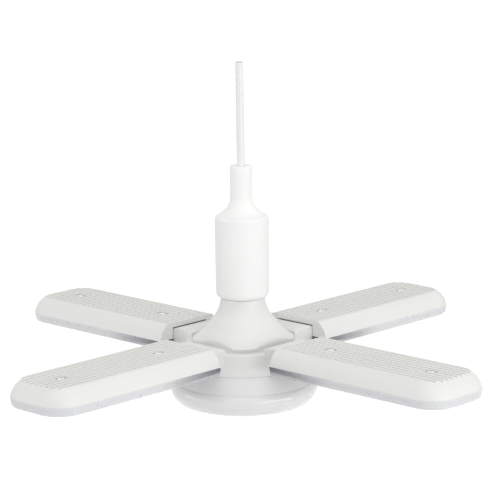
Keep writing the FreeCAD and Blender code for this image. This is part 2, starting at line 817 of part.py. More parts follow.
def make_dish_leads(floor):
    """Two leads from the driver board's faces down to the dish's light board."""
    foot = dish_level - size.dish_board_drop
    offset = size.board_thickness / 2 + size.lead_radius
    height = floor + size.dish_lead_rise - foot
    leads = [cylinder(f"dish_lead_{i}", size.lead_radius, height, 0, offset * side, foot)
             for i, side in ((1, 1), (2, -1))]
    return joined("Part::Compound", "dish_leads", leads)


# Dish: the conical housing, its light board and the bowl under it
def make_dish():
    cone = revolved("dish_cone", [
        (size.wire_hole_radius, -size.dish_wall),
        (size.dish_top_radius - size.dish_wall, -size.dish_wall),
        (size.dish_seam_radius, -size.dish_cone_drop - size.dish_wall),
        (size.dish_seam_radius, -size.dish_cone_drop),
        (size.dish_top_radius, 0),
        (size.wire_hole_radius, 0),
    ], dish_level)
    boss_level = dish_level - size.dish_board_drop
    boss_height = size.dish_board_drop - size.dish_wall
    bosses = [cylinder(f"dish_boss_{i}", size.dish_boss_radius, boss_height, x, y, boss_level)
              for i, (x, y) in enumerate(BOSS_SPOTS, start=1)]
    bore_depth = size.board_screw_length - size.board_thickness
    holes = [cylinder(f"dish_boss_{i}_bore", size.small_screw_radius, bore_depth, x, y, boss_level)
             for i, (x, y) in enumerate(BOSS_SPOTS, start=1)]
    holes += [cylinder(f"dish_hole_{i}", size.small_screw_radius, size.dish_wall, x, y, dish_level - size.dish_wall)
              for i, (x, y) in enumerate(DISH_SPOTS, start=1)]
    housing = cut("dish_housing",
                  joined("Part::MultiFuse", "dish_whole", [cone] + bosses),
                  joined("Part::Compound", "dish_holes", holes))
    board_foot = boss_level - size.board_thickness
    board = revolved("dish_led_board", rectangle(
        0, 0, size.dish_board_radius, size.board_thickness), board_foot)
    pocket(board, circles(board, "XY_Plane", BOSS_SPOTS, size.small_screw_radius),
           size.board_thickness, reverse=True)
    return [housing, board, make_dish_chips(board_foot), make_bowl(),
            screw_group("dish_screws", DISH_SPOTS, dish_level - size.dish_wall, SMALL_SCREW,
                        size.dish_wall + size.drum_floor, False),
            screw_group("board_screws", BOSS_SPOTS, board_foot, SMALL_SCREW, size.board_screw_length, False)]


def chip_shape(x, y):
    """One light chip under a board whose lower face is at zero."""
    width, height = size.chip_size.value, size.chip_height.value
    return Part.makeBox(width, width, height, Vector(x - width / 2, y - width / 2, -height))


def make_dish_chips(level):
    chips = []
    for count, radius in ((DISH_CHIPS_INNER, size.dish_ring_inner), (DISH_CHIPS_OUTER, size.dish_ring_outer)):
        for i in range(count):
            chip = chip_shape(radius.value, 0)
            chip.rotate(Vector(), Vector(0, 0, 1), 360 * (i + 0.5) / count)
            chips.append(chip)
    return shaped("dish_leds", Part.makeCompound(chips), Placement(Vector(0, 0, level.value), Rotation()))


def make_bowl():
    wall = size.bowl_wall
    return revolved("dish_diffuser", [
        (0, -size.bowl_drop),
        (size.bowl_foot_radius, -size.bowl_foot_drop, size.bowl_floor_round, 1),
        (size.bowl_waist_radius, -size.bowl_waist_drop, size.bowl_lower_round, 1),
        (size.dish_seam_radius + size.bowl_edge, -size.dish_cone_drop, size.bowl_upper_round, 1),
        (size.dish_seam_radius, -size.dish_cone_drop),
        (size.dish_seam_radius, -size.dish_cone_drop - size.dish_wall),
        (size.bowl_waist_radius - wall, -size.bowl_waist_drop),
        (size.bowl_foot_radius - wall / 2, -size.bowl_foot_drop + wall, size.bowl_lower_round - wall, -1),
        (0, -size.bowl_drop + wall, size.bowl_floor_round, -1),
    ], dish_level)


# Blades, each drawn along +X from its ribbed top plane and then turned into place
def blade_outline(inner, inset, tip_slope=ZERO):
    """A blade's outline with round outer corners, drawn in by an inset from its widest."""
    reach = size.blade_tip - inset - tip_slope
    half = size.blade_half_width - inset
    corner = size.blade_corner - inset
    return [
        (inner, -half),
        (reach - corner, -half),
        (reach, -half + corner, corner, 1),
        (reach, half - corner),
        (reach - corner, half, corner, 1),
        (inner, half),
    ]


def groove_outline(centre):
    """One groove of the ribbed top in cross-section."""
    half = size.groove_width / 2
    floor_half = size.groove_floor / 2
    return [(centre - half, 0), (centre - floor_half, -size.groove_depth),
            (centre + floor_half, -size.groove_depth), (centre + half, 0)]


def recess_outline(centre):
    """A screw's long round-ended recess."""
    half = size.recess_half_width
    run = size.recess_half_length - half
    return [
        (centre + run, -half),
        (centre + run + half, 0, half, 1),
        (centre + run, half, half, 1),
        (centre - run, half),
        (centre - run - half, 0, half, 1),
        (centre - run, -half, half, 1),
    ]


def mouth_outline():
    """The hinge mouth in side view: open towards the hub and downwards, under the roof."""
    front = size.blade_inner - size.blade_roof
    foot = -size.blade_height - size.lens_height - size.blade_roof
    end = size.hinge_reach + knuckle_room
    step = size.hinge_reach - size.knuckle_clearance
    top = -size.hinge_depth + knuckle_room
    return [
        (front, foot),
        (end, foot),
        (end, -size.hinge_depth),
        (size.hinge_reach, top, knuckle_room, 1),
        (step, top),
        (step, -size.blade_roof),
        (front, -size.blade_roof),
    ]


def open_hinge(body):
    """Cuts the hinge mouth and the pin's bore."""
    pocket(body, drawn(body, "XZ_Plane", [mouth_outline()]), mouth_half_width * 2, midplane=True)
    bore = circles(body, "XZ_Plane", [(size.hinge_reach, -size.hinge_depth)], size.pin_radius)
    pocket(body, bore, size.pin_half_length * 2, midplane=True)


BLADE_SPOTS = [(size.screw_inner, ZERO), (size.screw_outer, ZERO)]


def make_housing(label, turn):
    body = new_body(label, blade_level, turn)
    loft(body, "PartDesign::AdditiveLoft", [
        (-size.blade_height, blade_outline(size.blade_inner, ZERO)),
        (-size.blade_height + size.blade_mid_height, blade_outline(size.blade_inner, size.blade_mid_inset)),
        (ZERO, blade_outline(size.blade_inner, size.blade_top_inset, size.blade_tip_slope)),
    ])
    loft(body, "PartDesign::SubtractiveLoft", [
        (-size.blade_height, blade_outline(cavity_start, size.blade_wall)),
        (-size.blade_roof, blade_outline(cavity_start, size.blade_top_inset, size.blade_tip_slope)),
    ])
    boss_height = -size.blade_roof / 2 - blade_board_top
    pad(body, circles(body, "XY_Plane", BLADE_SPOTS, size.blade_boss_radius, blade_board_top), boss_height)
    open_hinge(body)
    middle = (GROOVE_COUNT - 1) / 2
    grooves = [groove_outline(size.rib_pitch * (i - middle)) for i in range(GROOVE_COUNT)]
    pocket(body, drawn(body, "YZ_Plane", grooves), size.blade_tip * 2 + size.blade_wall, midplane=True)
    recesses = [recess_outline(x) for x, y in BLADE_SPOTS]
    pocket(body, drawn(body, "XY_Plane", recesses), size.recess_depth)
    pocket(body, circles(body, "XY_Plane", BLADE_SPOTS, size.blade_screw_radius), size.blade_height)
    lead_bore = circles(body, "YZ_Plane", [(ZERO, blade_lead_level)], size.lead_radius)
    pocket(body, lead_bore, cavity_start * 2, midplane=True)
    return body


def make_lens(label, turn):
    body = new_body(label, blade_level, turn)
    flange_level = -size.blade_height - size.lens_flange
    foot = -size.blade_height - size.lens_height
    tray = drawn(body, "XY_Plane", [blade_outline(size.blade_inner, size.lens_step)], foot)
    pad(body, tray, size.lens_height - size.lens_flange)
    round_edges(body, size.lens_edge_round, lambda spot: abs(spot.z - foot.value) < 1e-6)
    flange = drawn(body, "XY_Plane", [blade_outline(size.blade_inner, ZERO)], flange_level)
    pad(body, flange, size.lens_flange)
    half_tab = size.lens_tab_width / 2
    tabs = [rectangle(x - half_tab, -size.blade_half_width, x + half_tab, size.blade_half_width)
            for x in (size.lens_tab_inner, size.lens_tab_outer)]
    pad(body, drawn(body, "XY_Plane", tabs, flange_level), size.lens_tab_height, reverse=True)
    hollow = drawn(body, "XY_Plane", [blade_outline(cavity_start, size.lens_step + size.lens_wall)],
                   foot + size.lens_wall)
    pocket(body, hollow, size.lens_height, reverse=True)
    open_hinge(body)
    return body


def make_board(label, turn):
    level = blade_level + blade_board_top - size.board_thickness
    body = new_body(label, level, turn)
    start = cavity_start + size.blade_board_start
    pad(body, drawn(body, "XY_Plane", [blade_outline(start, size.blade_board_inset)]), size.board_thickness)
    pocket(body, circles(body, "XY_Plane", BLADE_SPOTS, size.blade_screw_radius),
           size.board_thickness, reverse=True)
    return body


def make_chips(label, turn):
    """Rows of light chips under the blade's board, leaving room for the screws."""
    pitch, row_pitch = size.chip_pitch.value, size.chip_row_pitch.value
    start = (cavity_start + size.blade_board_start).value + pitch
    screws = [(x.value, y.value) for x, y in BLADE_SPOTS]
    chips = []
    for row in range(CHIP_ROWS):
        y = (row - (CHIP_ROWS - 1) / 2) * row_pitch
        for column in range(CHIP_COLUMNS):
            x = start + column * pitch
            if all(hypot(x - sx, y - sy) > size.chip_screw_room.value for sx, sy in screws):
                chips.append(chip_shape(x, y))
    level = (blade_level + blade_board_top - size.board_thickness).value
    return shaped(label, Part.makeCompound(chips), Placement(Vector(0, 0, level), Rotation(Vector(0, 0, 1), turn)))


def make_blade(index):
    turn = BLADE_TURNS[index]
    number = index + 1
    head_foot = blade_level - size.recess_depth
    length = -size.recess_depth - blade_board_top + size.board_thickness
    quarter = round(cos(turn * pi / 180)), round(sin(turn * pi / 180))
    spots = [(x * quarter[0], x * quarter[1]) for x, y in BLADE_SPOTS]
    pin = new_body(f"hinge_pin_{number}", blade_level, turn)
    pin_round = circles(pin, "XZ_Plane", [(size.hinge_reach, -size.hinge_depth)], size.pin_radius)
    pad(pin, pin_round, size.pin_half_length * 2, midplane=True)
    return [make_housing(f"blade_housing_{number}", turn),
            make_lens(f"blade_lens_{number}", turn),
            make_board(f"blade_led_board_{number}", turn),
            make_chips(f"blade_leds_{number}", turn),
            screw_group(f"blade_screws_{number}", spots, head_foot, BLADE_SCREW, length, True),
            radial(f"blade_lead_{number}", size.lead_radius, size.hinge_reach + knuckle_room,
                   cavity_start + size.blade_board_start + size.lead_lap, blade_level + blade_lead_level, turn),
            pin]


# Everything together, checked and written
def make_lamp():
    pieces = make_cord() + [make_cover()] + make_socket() + make_cap() + [make_neck(), make_hub()]
    pieces += make_driver() + make_dish()
    pieces.append(screw_group("hub_screws", HUB_SPOTS, hub_level - size.drum_lid, HUB_SCREW,
                              size.drum_lid + size.skirt_edge, False))
    for index in range(BLADE_COUNT):
        pieces += make_blade(index)
    doc.recompute()
    return pieces


def check_document():
    for item in doc.Objects:
        if "Invalid" in item.State or "Error" in item.State:
            raise RuntimeError(f"{item.Label} failed: {item.State}")


def write_parts(pieces):
    os.makedirs("parts", exist_ok=True)
    for piece in pieces:
        if piece.Shape.isNull() or not piece.Shape.isValid():
            raise RuntimeError(f"{piece.Label} has no valid shape")
        piece.Shape.exportStep(f"parts/{piece.Label}.step")
        solids = len(piece.Shape.Solids)
        print(f"{piece.Label}: {solids} solid(s), {piece.Shape.Volume:.1f} mm3")


lamp_pieces = make_lamp()
check_document()
write_parts(lamp_pieces)
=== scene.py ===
# %% [markdown]
# # A folding grow light in a corded lampholder
# The lamp screws into a white lampholder that hangs on a round cord, and four long blades fold
# down from its hub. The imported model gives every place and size, so the lesson starts by loading
# it. Everything here is in metres, and one millimetre gets a name because the sizes are easier to
# read in it. Points less than a tenth of that from a place count as being there.

# %% Load the frame
from math import atan2, cos, pi, radians, sin, sqrt

import bmesh
import bpy
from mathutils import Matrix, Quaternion, Vector


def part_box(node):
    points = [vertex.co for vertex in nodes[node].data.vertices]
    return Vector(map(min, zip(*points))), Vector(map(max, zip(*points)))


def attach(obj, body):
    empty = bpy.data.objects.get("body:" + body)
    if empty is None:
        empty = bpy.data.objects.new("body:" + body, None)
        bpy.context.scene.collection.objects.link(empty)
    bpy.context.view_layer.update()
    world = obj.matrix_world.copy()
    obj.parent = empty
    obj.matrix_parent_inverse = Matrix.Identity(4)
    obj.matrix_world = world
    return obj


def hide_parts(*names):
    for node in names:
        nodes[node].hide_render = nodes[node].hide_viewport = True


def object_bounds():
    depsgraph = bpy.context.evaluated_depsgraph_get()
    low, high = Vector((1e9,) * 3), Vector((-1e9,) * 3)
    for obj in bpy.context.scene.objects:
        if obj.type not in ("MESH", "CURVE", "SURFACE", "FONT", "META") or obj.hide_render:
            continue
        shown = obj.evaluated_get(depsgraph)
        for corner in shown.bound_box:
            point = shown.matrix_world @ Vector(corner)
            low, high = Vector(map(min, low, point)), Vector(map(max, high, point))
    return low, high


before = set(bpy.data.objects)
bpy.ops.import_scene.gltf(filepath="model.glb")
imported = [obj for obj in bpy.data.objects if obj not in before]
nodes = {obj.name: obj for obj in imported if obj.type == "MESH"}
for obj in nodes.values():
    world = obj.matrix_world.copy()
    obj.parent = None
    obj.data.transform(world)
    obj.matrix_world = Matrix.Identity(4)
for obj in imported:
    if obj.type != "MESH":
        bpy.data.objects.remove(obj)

MM = 0.001
NEAR = 0.1 * MM
cad_low, cad_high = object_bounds()
print(len(nodes), "solids, box in mm:", [round(v / MM, 1) for v in cad_high - cad_low])

# %% [markdown]
# ## The camera
# The picture was taken from a little above the blades with a long lens, so that the far blades
# look nearly as large as the near ones. A camera could be placed by eye, but its place was worked
# out from the blade corners and screws, which gives the height, the distance and the slight tilt
# together.

# %% Camera
LENS_MM = 174.5
TILT = -0.835
camera_data = bpy.data.cameras.new("picture_camera")
camera = bpy.data.objects.new("picture_camera", camera_data)
bpy.context.scene.collection.objects.link(camera)
camera_data.sensor_width = 36.0
camera_data.lens = LENS_MM
camera_data.clip_end = 100.0
camera.location = (1.29772, -1.32983, 0.24179)
aim = Vector((-0.00534, 0.01444, -0.15131))
level_turn = (aim - camera.location).to_track_quat("-Z", "Y")
camera.rotation_mode = "QUATERNION"
camera.rotation_quaternion = level_turn @ Quaternion((0, 0, 1), radians(TILT))
bpy.context.scene.camera = camera
print("camera stands", round((aim - camera.location).length, 3), "m from the lamp")

# %% [markdown]
# ## The cord
# A short length of white round flex hangs straight down into the sleeve, and its upper end is cut
# square. A cord is best drawn as a curve with a round bevel, because a curve keeps its true
# length. The jacket stops a hair short of the cut, so that the two cores can be seen in its end.

# %% Cord
cord_low, cord_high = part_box("cord")
CORD_RADIUS = 3.1 * MM
JACKET_CUT = 0.15 * MM
CORD_MIDDLE = -40 * MM
route = [(0, 0, cord_low.z), (0, 0, CORD_MIDDLE), (0, 0, cord_high.z - JACKET_CUT)]
cord_curve = bpy.data.curves.new("hanging_cord", "CURVE")
cord_curve.dimensions = "3D"
line = cord_curve.splines.new("NURBS")
line.points.add(len(route) - 1)
for point, place in zip(line.points, route):
    point.co = (*place, 1)
line.order_u = 3
line.use_endpoint_u = True
cord_curve.bevel_depth = CORD_RADIUS
cord_curve.bevel_resolution = 10
cord_curve.use_fill_caps = True
hanging_cord = bpy.data.objects.new("hanging_cord", cord_curve)
bpy.context.scene.collection.objects.link(hanging_cord)
print("cord", round((route[-1][2] - route[0][2]) / MM, 1), "mm long")

# %% [markdown]
# ## Tools for the bench
# By hand, each piece would start from a plane or a cylinder and be shaped with the edit tools.
# The same tools are called here. An operator works on whatever is selected, so each piece starts
# with nothing selected, and parts of a mesh are picked by where they are.


# %% Selecting and finishing
def clear_bench():
    """Leaves edit mode with nothing selected."""
    if bpy.context.mode != "OBJECT":
        bpy.ops.object.mode_set(mode="OBJECT")
    bpy.ops.object.select_all(action="DESELECT")


def name_piece(name):
    """Names the primitive that was just added and settles its size and place into its mesh."""
    piece = bpy.context.active_object
    piece.name = name
    piece.data.name = name
    bpy.ops.object.transform_apply(location=True, rotation=True, scale=True)
    return piece


def pick(piece, kind, wanted):
    """In edit mode, selects only the verts, edges or faces whose middle point passes the test."""
    bpy.ops.mesh.select_mode(type={"verts": "VERT", "edges": "EDGE", "faces": "FACE"}[kind])
    bpy.ops.mesh.select_all(action="DESELECT")
    mesh = bmesh.from_edit_mesh(piece.data)
    for item in getattr(mesh, kind):
        corners = [item] if kind == "verts" else item.verts
        item.select_set(bool(wanted(sum((c.co for c in corners), Vector()) / len(corners))))
    mesh.select_flush_mode()
    bmesh.update_edit_mesh(piece.data)


def block(name, size, middle):
    """A box of a size in mm with its middle at a place."""
    clear_bench()
    bpy.ops.mesh.primitive_cube_add(size=MM, location=middle)
    bpy.context.active_object.scale = size
    return name_piece(name)


def make_active(piece):
    clear_bench()
    piece.select_set(True)
    bpy.context.view_layer.objects.active = piece


def apply_modifier(piece, kind, **settings):
    make_active(piece)
    modifier = piece.modifiers.new(kind.lower(), kind)
    for name, value in settings.items():
        setattr(modifier, name, value)
    bpy.ops.object.modifier_apply(modifier=modifier.name)


def carve(piece, cutter, how="DIFFERENCE"):
    """Cuts one piece with another, which is then thrown away."""
    apply_modifier(piece, "BOOLEAN", operation=how, object=cutter, solver="EXACT")
    bpy.data.objects.remove(cutter)


def smooth(piece, angle=32):
    make_active(piece)
    bpy.ops.object.shade_smooth_by_angle(angle=radians(angle))


def soften(piece, width, angle=35, segments=3):
    """Rounds the sharp edges a little, as every moulding has them."""
    apply_modifier(piece, "BEVEL", width=width * MM, segments=segments, limit_method="ANGLE",
                   angle_limit=radians(angle), use_clamp_overlap=True)


# %% Drawing an outline
def arc(start, end, radius, side, count=10):
    """Points on the way from start to end round a circle; side 1 has its centre on the left."""
    run = (end[0] - start[0], end[1] - start[1])
    half = sqrt(run[0] ** 2 + run[1] ** 2) / 2
    rise = side * sqrt(max(radius ** 2 - half ** 2, 0)) / (2 * half)
    centre = ((start[0] + end[0]) / 2 - run[1] * rise, (start[1] + end[1]) / 2 + run[0] * rise)
    first = atan2(start[1] - centre[1], start[0] - centre[0])
    turn = (atan2(end[1] - centre[1], end[0] - centre[0]) - first + pi) % (2 * pi) - pi
    steps = [first + turn * i / count for i in range(1, count + 1)]
    return [(centre[0] + radius * cos(a), centre[1] + radius * sin(a)) for a in steps]


def draw_line(name, points):
    """Draws points in mm, across and up, by extruding one vertex from each to the next."""
    clear_bench()
    bpy.ops.mesh.primitive_plane_add(size=MM, location=(0, 0, 0))
    piece = name_piece(name)
    bpy.ops.object.mode_set(mode="EDIT")
    bpy.ops.mesh.select_mode(type="VERT")
    bpy.ops.mesh.select_all(action="SELECT")
    bpy.ops.mesh.merge(type="CENTER")
    bpy.ops.transform.translate(value=(points[0][0] * MM, 0, points[0][1] * MM))
    for here, there in zip(points, points[1:]):
        step = ((there[0] - here[0]) * MM, 0, (there[1] - here[1]) * MM)
        bpy.ops.mesh.extrude_vertices_move(TRANSFORM_OT_translate={"value": step})
    return piece


def turned(name, points, level, steps=96):
    """A turned piece: an outline of radius and height in mm, spun about the lamp's axis."""
    piece = draw_line(name, [(x, z + level / MM) for x, z in points])
    bpy.ops.mesh.select_all(action="SELECT")
    bpy.ops.mesh.spin(steps=steps, angle=2 * pi, center=(0, 0, 0), axis=(0, 0, 1))
    bpy.ops.mesh.select_all(action="SELECT")
    bpy.ops.mesh.remove_doubles(threshold=0.005 * MM)
    bpy.ops.mesh.normals_make_consistent(inside=False)
    bpy.ops.object.mode_set(mode="OBJECT")
    return piece


def slab(name, points, level, half_width):
    """A side outline in mm, filled and drawn out to both sides of the XZ plane."""
    piece = draw_line(name, [(x, z + level / MM) for x, z in points])
    bpy.ops.mesh.select_all(action="SELECT")
    bpy.ops.mesh.edge_face_add()
    bpy.ops.transform.translate(value=(0, -half_width * MM, 0))
    across = (0, 2 * half_width * MM, 0)
    bpy.ops.mesh.extrude_region_move(TRANSFORM_OT_translate={"value": across})
    bpy.ops.mesh.select_all(action="SELECT")
    bpy.ops.mesh.normals_make_consistent(inside=False)
    bpy.ops.object.mode_set(mode="OBJECT")
    return piece


# %% Copies round the lamp
BLADE_TURNS = [0, 90, 180, 270]


def copy_turned(piece, name, turn):
    """A copy with its own mesh, turned about the lamp's axis."""
    make_active(piece)
    bpy.ops.object.duplicate()
    twin = bpy.context.active_object
    twin.rotation_euler = (0, 0, radians(turn))
    return name_piece(name)


def join_pieces(pieces, name):
    clear_bench()
    for piece in pieces:
        piece.select_set(True)
    bpy.context.view_layer.objects.active = pieces[0]
    bpy.ops.object.join()
    return name_piece(name)


# %% [markdown]
# ## Mixing finishes
# Every finish is one Principled shader with a few textures on Object coordinates, so that a
# pattern stays on the piece when the lamp folds. Colours are written as they are picked on a
# screen and turned into linear light once. A texture's scale is one over the size of its grain.


# %% Finish helpers
def ink(code):
    """A screen colour such as EDEDEA as linear light."""
    parts = [int(code[i:i + 2], 16) / 255 for i in (0, 2, 4)]
    return (*[p / 12.92 if p <= 0.04045 else ((p + 0.055) / 1.055) ** 2.4 for p in parts], 1)


def grain(millimetres):
    return 1 / (millimetres * MM)


def add(tree, kind, inputs, **settings):
    """Adds one node; an input is a plain value or another node's output."""
    made = tree.nodes.new(kind)
    for name, value in settings.items():
        setattr(made, name, value)
    for name, value in inputs.items():
        if isinstance(value, bpy.types.NodeSocket):
            tree.links.new(value, made.inputs[name])
        else:
            made.inputs[name].default_value = value
    return made


def new_finish(name):
    """An empty material, and the Object coordinates that its patterns read."""
    material = bpy.data.materials.new(name)
    material.use_nodes = True
    material.node_tree.nodes.clear()
    place = add(material.node_tree, "ShaderNodeTexCoord", {})
    return material, material.node_tree, place.outputs["Object"]


# %% Pattern helpers
def noise(tree, place, size, detail):
    """An uneven pattern whose grain is so many mm."""
    made = add(tree, "ShaderNodeTexNoise", {"Vector": place, "Scale": grain(size),
                                            "Detail": detail})
    return made.outputs["Fac"]


def blend(tree, amount, first, second):
    """A colour on the way from one screen colour to another."""
    made = add(tree, "ShaderNodeMix", {"Factor": amount, "A": ink(first), "B": ink(second)},
               data_type="RGBA")
    return made.outputs["Result"]


def spread(tree, value, low, high):
    """A pattern's values, spread from low to high."""
    made = add(tree, "ShaderNodeMapRange", {"Value": value, "To Min": low, "To Max": high})
    return made.outputs["Result"]


def relief(tree, pattern, strength, depth):
    """A pattern as a bump of so many mm."""
    made = add(tree, "ShaderNodeBump", {"Height": pattern, "Strength": strength,
                                        "Distance": depth * MM})
    return made.outputs["Normal"]


def larger(tree, first, second):
    return add(tree, "ShaderNodeMath", {0: first, 1: second}, operation="MAXIMUM").outputs["Value"]


def seal(tree, inputs):
    """Closes a finish with one Principled shader."""
    shader = add(tree, "ShaderNodeBsdfPrincipled", inputs)
    add(tree, "ShaderNodeOutputMaterial", {"Surface": shader.outputs["BSDF"]})


# %% [markdown]
# ## Moulded plastics
# The blades, neck, hub and dish are white ABS, moulded in a tool with a fine spark-eroded skin.
# It scatters the light softly and shows a dull sheen. The real grain is about a tenth of a
# millimetre, too fine for the picture, so it is drawn about ten times coarser. A broad cloud
# keeps the white from being one flat tone. In the grooves and on the recess floors the white is
# painted duller, as painted shade: a little in the grooves, much more on the recess floors.


# %% Moulded ABS
def moulded_abs(name, light, dull, sheen):
    """White ABS from a spark-eroded tool: soft and slightly uneven, never mirror-like."""
    material, tree, place = new_finish(name)
    cloud = noise(tree, place, size=38, detail=3.0)
    skin = noise(tree, place, size=1.1, detail=2.0)
    seal(tree, {"Base Color": blend(tree, cloud, dull, light), "IOR": 1.54,
                "Roughness": spread(tree, skin, sheen, sheen + 0.12),
                "Normal": relief(tree, skin, strength=0.06, depth=0.04)})
    return material


blade_abs = moulded_abs("blade_white_abs", "ECECEA", "E7E7E4", 0.42)
neck_abs = moulded_abs("neck_white_abs", "EAEAE9", "E6E6E5", 0.34)
dish_abs = moulded_abs("dish_white_abs", "E6E6E6", "E1E1E1", 0.36)
# A much darker white: painted shade on the screw recess floors.
recess_shade_abs = moulded_abs("recess_painted_shade_abs", "C4C4BF", "BCBCB7", 0.55)
# A slightly darker white: painted shade in the rib grooves.
groove_shade_abs = moulded_abs("groove_painted_shade_abs", "E3E3DE", "DDDDD8", 0.50)
moulded_whites = (blade_abs, neck_abs, dish_abs, recess_shade_abs, groove_shade_abs)
print("moulded whites:", [finish.name for finish in moulded_whites])

# %% [markdown]
# ## Soft and milky plastics
# The sleeve is silicone rubber: light enters it and comes out again, so its edges look soft. The
# cord's jacket is extruded PVC, smoother and a little shinier. The bowl is opal polycarbonate,
# which glows inside and mirrors the lights on its skin. All three use some subsurface scatter.


# %% Silicone, PVC and opal
def scattering_plastic(name, colours, depth, weight, roughness, ior, grain_mm, bump_depth):
    """A plastic that light soaks into; depth is how far, in mm."""
    material, tree, place = new_finish(name)
    cloud = noise(tree, place, size=24, detail=2.0)
    skin = noise(tree, place, size=grain_mm, detail=2.0)
    seal(tree, {"Base Color": blend(tree, cloud, *colours), "IOR": ior,
                "Roughness": spread(tree, skin, roughness, roughness + 0.08),
                "Normal": relief(tree, skin, strength=0.08, depth=bump_depth),
                "Subsurface Weight": weight, "Subsurface Scale": depth * MM,
                "Subsurface Radius": (1.0, 0.95, 0.9)})
    return material


sleeve_silicone = scattering_plastic(
    "sleeve_silicone", ("F9F9F7", "FCFCFA"), depth=2.5, weight=0.35, roughness=0.50, ior=1.41,
    grain_mm=1.3, bump_depth=0.10)
cord_pvc = scattering_plastic(
    "cord_white_pvc", ("ECECEB", "F0F0EF"), depth=1.2, weight=0.20, roughness=0.36, ior=1.53,
    grain_mm=1.0, bump_depth=0.01)
bowl_opal = scattering_plastic(
    "bowl_opal_polycarbonate", ("E6E6E6", "EAEAEA"), depth=4.0, weight=0.50, roughness=0.06,
    ior=1.585, grain_mm=6.0, bump_depth=0.02)
print("soft whites:", sleeve_silicone.name, cord_pvc.name, bowl_opal.name)

# %% [markdown]
# ## Clear plastic
# The blades' lenses are clear polycarbonate. A clear piece needs real thickness, because its look
# comes from the light that bends at its edges. A haze, uneven over a few millimetres, keeps it
# from looking like window glass and hides the chips from the side. Near the hinge the tray's
# colour is painted dark: a painted shade, deepest at the flange, that fades out with the distance
# from the lamp's axis.

# %% Clear polycarbonate
FULL_SHADE_REACH, NO_SHADE_REACH = 62 * MM, 126 * MM
FLANGE_DROP, WALL_DROP = 2.2 * MM, 5.2 * MM
WALL_SHADE_LIFT = 0.7
lens_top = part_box("blade_lens_1")[1].z
lens_clear, tree, place = new_finish("lens_clear_polycarbonate")
haze = noise(tree, place, size=7, detail=2.0)
flat = add(tree, "ShaderNodeVectorMath", {0: place, 1: (1, 1, 0)}, operation="MULTIPLY")
reach = add(tree, "ShaderNodeVectorMath", {0: flat.outputs["Vector"]}, operation="LENGTH")
outward = add(tree, "ShaderNodeMapRange", {
    "Value": reach.outputs["Value"], "From Min": FULL_SHADE_REACH, "From Max": NO_SHADE_REACH})
axes = add(tree, "ShaderNodeSeparateXYZ", {"Vector": place})
downward = add(tree, "ShaderNodeMapRange", {
    "Value": axes.outputs["Z"], "From Min": lens_top - FLANGE_DROP,
    "From Max": lens_top - WALL_DROP, "To Max": WALL_SHADE_LIFT})
# Both ramps lift a painted shade: the colour is painted dark near the hinge and at the flange.
unshaded_part = larger(tree, outward.outputs["Result"], downward.outputs["Result"])
seal(tree, {"Base Color": blend(tree, unshaded_part, "54515F", "F5F6F8"), "IOR": 1.585,
            "Roughness": spread(tree, haze, 0.24, 0.34), "Transmission Weight": 0.24})
print("clear finish:", lens_clear.name)

# %% [markdown]
# ## Metals
# The blades' screws are zinc-plated steel, the pins and the inner screws nickel-plated steel. The
# cap's shell is plated brass, the lampholder's contacts are bare brass and the cord's wires are
# copper. Fine lines from turning and handling make their shine uneven. The lines are drawn a
# millimetre apart so that they show.


# %% Plated steel and brass
def worked_metal(name, light, dull, roughness):
    """A drawn or turned metal: bright, with a faintly uneven shine."""
    material, tree, place = new_finish(name)
    lines = noise(tree, place, size=1.0, detail=4.0)
    seal(tree, {"Base Color": blend(tree, lines, dull, light), "Metallic": 1.0,
                "Roughness": spread(tree, lines, roughness, roughness + 0.16)})
    return material


nickel_steel = worked_metal("nickel_plated_steel", "E2E0DA", "CFCCC4", 0.26)
zinc_steel = worked_metal("white_zinc_plated_steel", "F8F8F6", "F0F0EC", 0.32)
plated_cap = worked_metal("nickel_plated_brass", "D9D6CC", "C2BEB2", 0.20)
brass = worked_metal("bare_brass", "D9B66A", "B98F48", 0.24)
copper = worked_metal("bare_copper", "D98A5E", "B86A44", 0.28)
print("metals:", nickel_steel.name, zinc_steel.name, plated_cap.name, brass.name, copper.name)

# %% [markdown]
# ## Boards, light chips and hidden pieces
# Under the lenses, white boards carry rows of light chips, each a white frame round a yellow
# phosphor. A grid of fine lines stands for the copper under the white lacquer. The pieces inside
# the lampholder and the drum hardly show, but each still gets the finish of what it is.


# %% Board lacquer
def lacquered_board(name, ground, track, pitch):
    """A circuit board: lacquer over copper tracks, which show as a faint grid."""
    material, tree, place = new_finish(name)
    tracks = add(tree, "ShaderNodeTexBrick", {
        "Vector": place, "Color1": ink(ground), "Color2": ink(ground), "Mortar": ink(track),
        "Scale": 1.0, "Mortar Size": 0.35 * MM, "Mortar Smooth": 0.2,
        "Brick Width": pitch * MM, "Row Height": pitch * MM}, offset=0.0)
    speck = noise(tree, place, size=2.5, detail=2.0)
    seal(tree, {"Base Color": tracks.outputs["Color"], "IOR": 1.55,
                "Roughness": spread(tree, speck, 0.30, 0.45),
                "Normal": relief(tree, tracks.outputs["Fac"], strength=0.2, depth=0.05)})
    return material


light_board = lacquered_board("white_board_lacquer", "F1F2EF", "E2E3DE", 4.5)
driver_green = lacquered_board("green_board_lacquer", "2C6A3C", "4C8B58", 3.0)


# %% Plain mouldings and wrappings
def speckled(name, light, dark, spot_mm, roughness, ior):
    """A material seen from close by only: two near tones in small specks."""
    material, tree, place = new_finish(name)
    specks = noise(tree, place, size=spot_mm, detail=3.0)
    seal(tree, {"Base Color": blend(tree, specks, dark, light), "IOR": ior,
                "Roughness": spread(tree, specks, roughness, roughness + 0.1)})
    return material


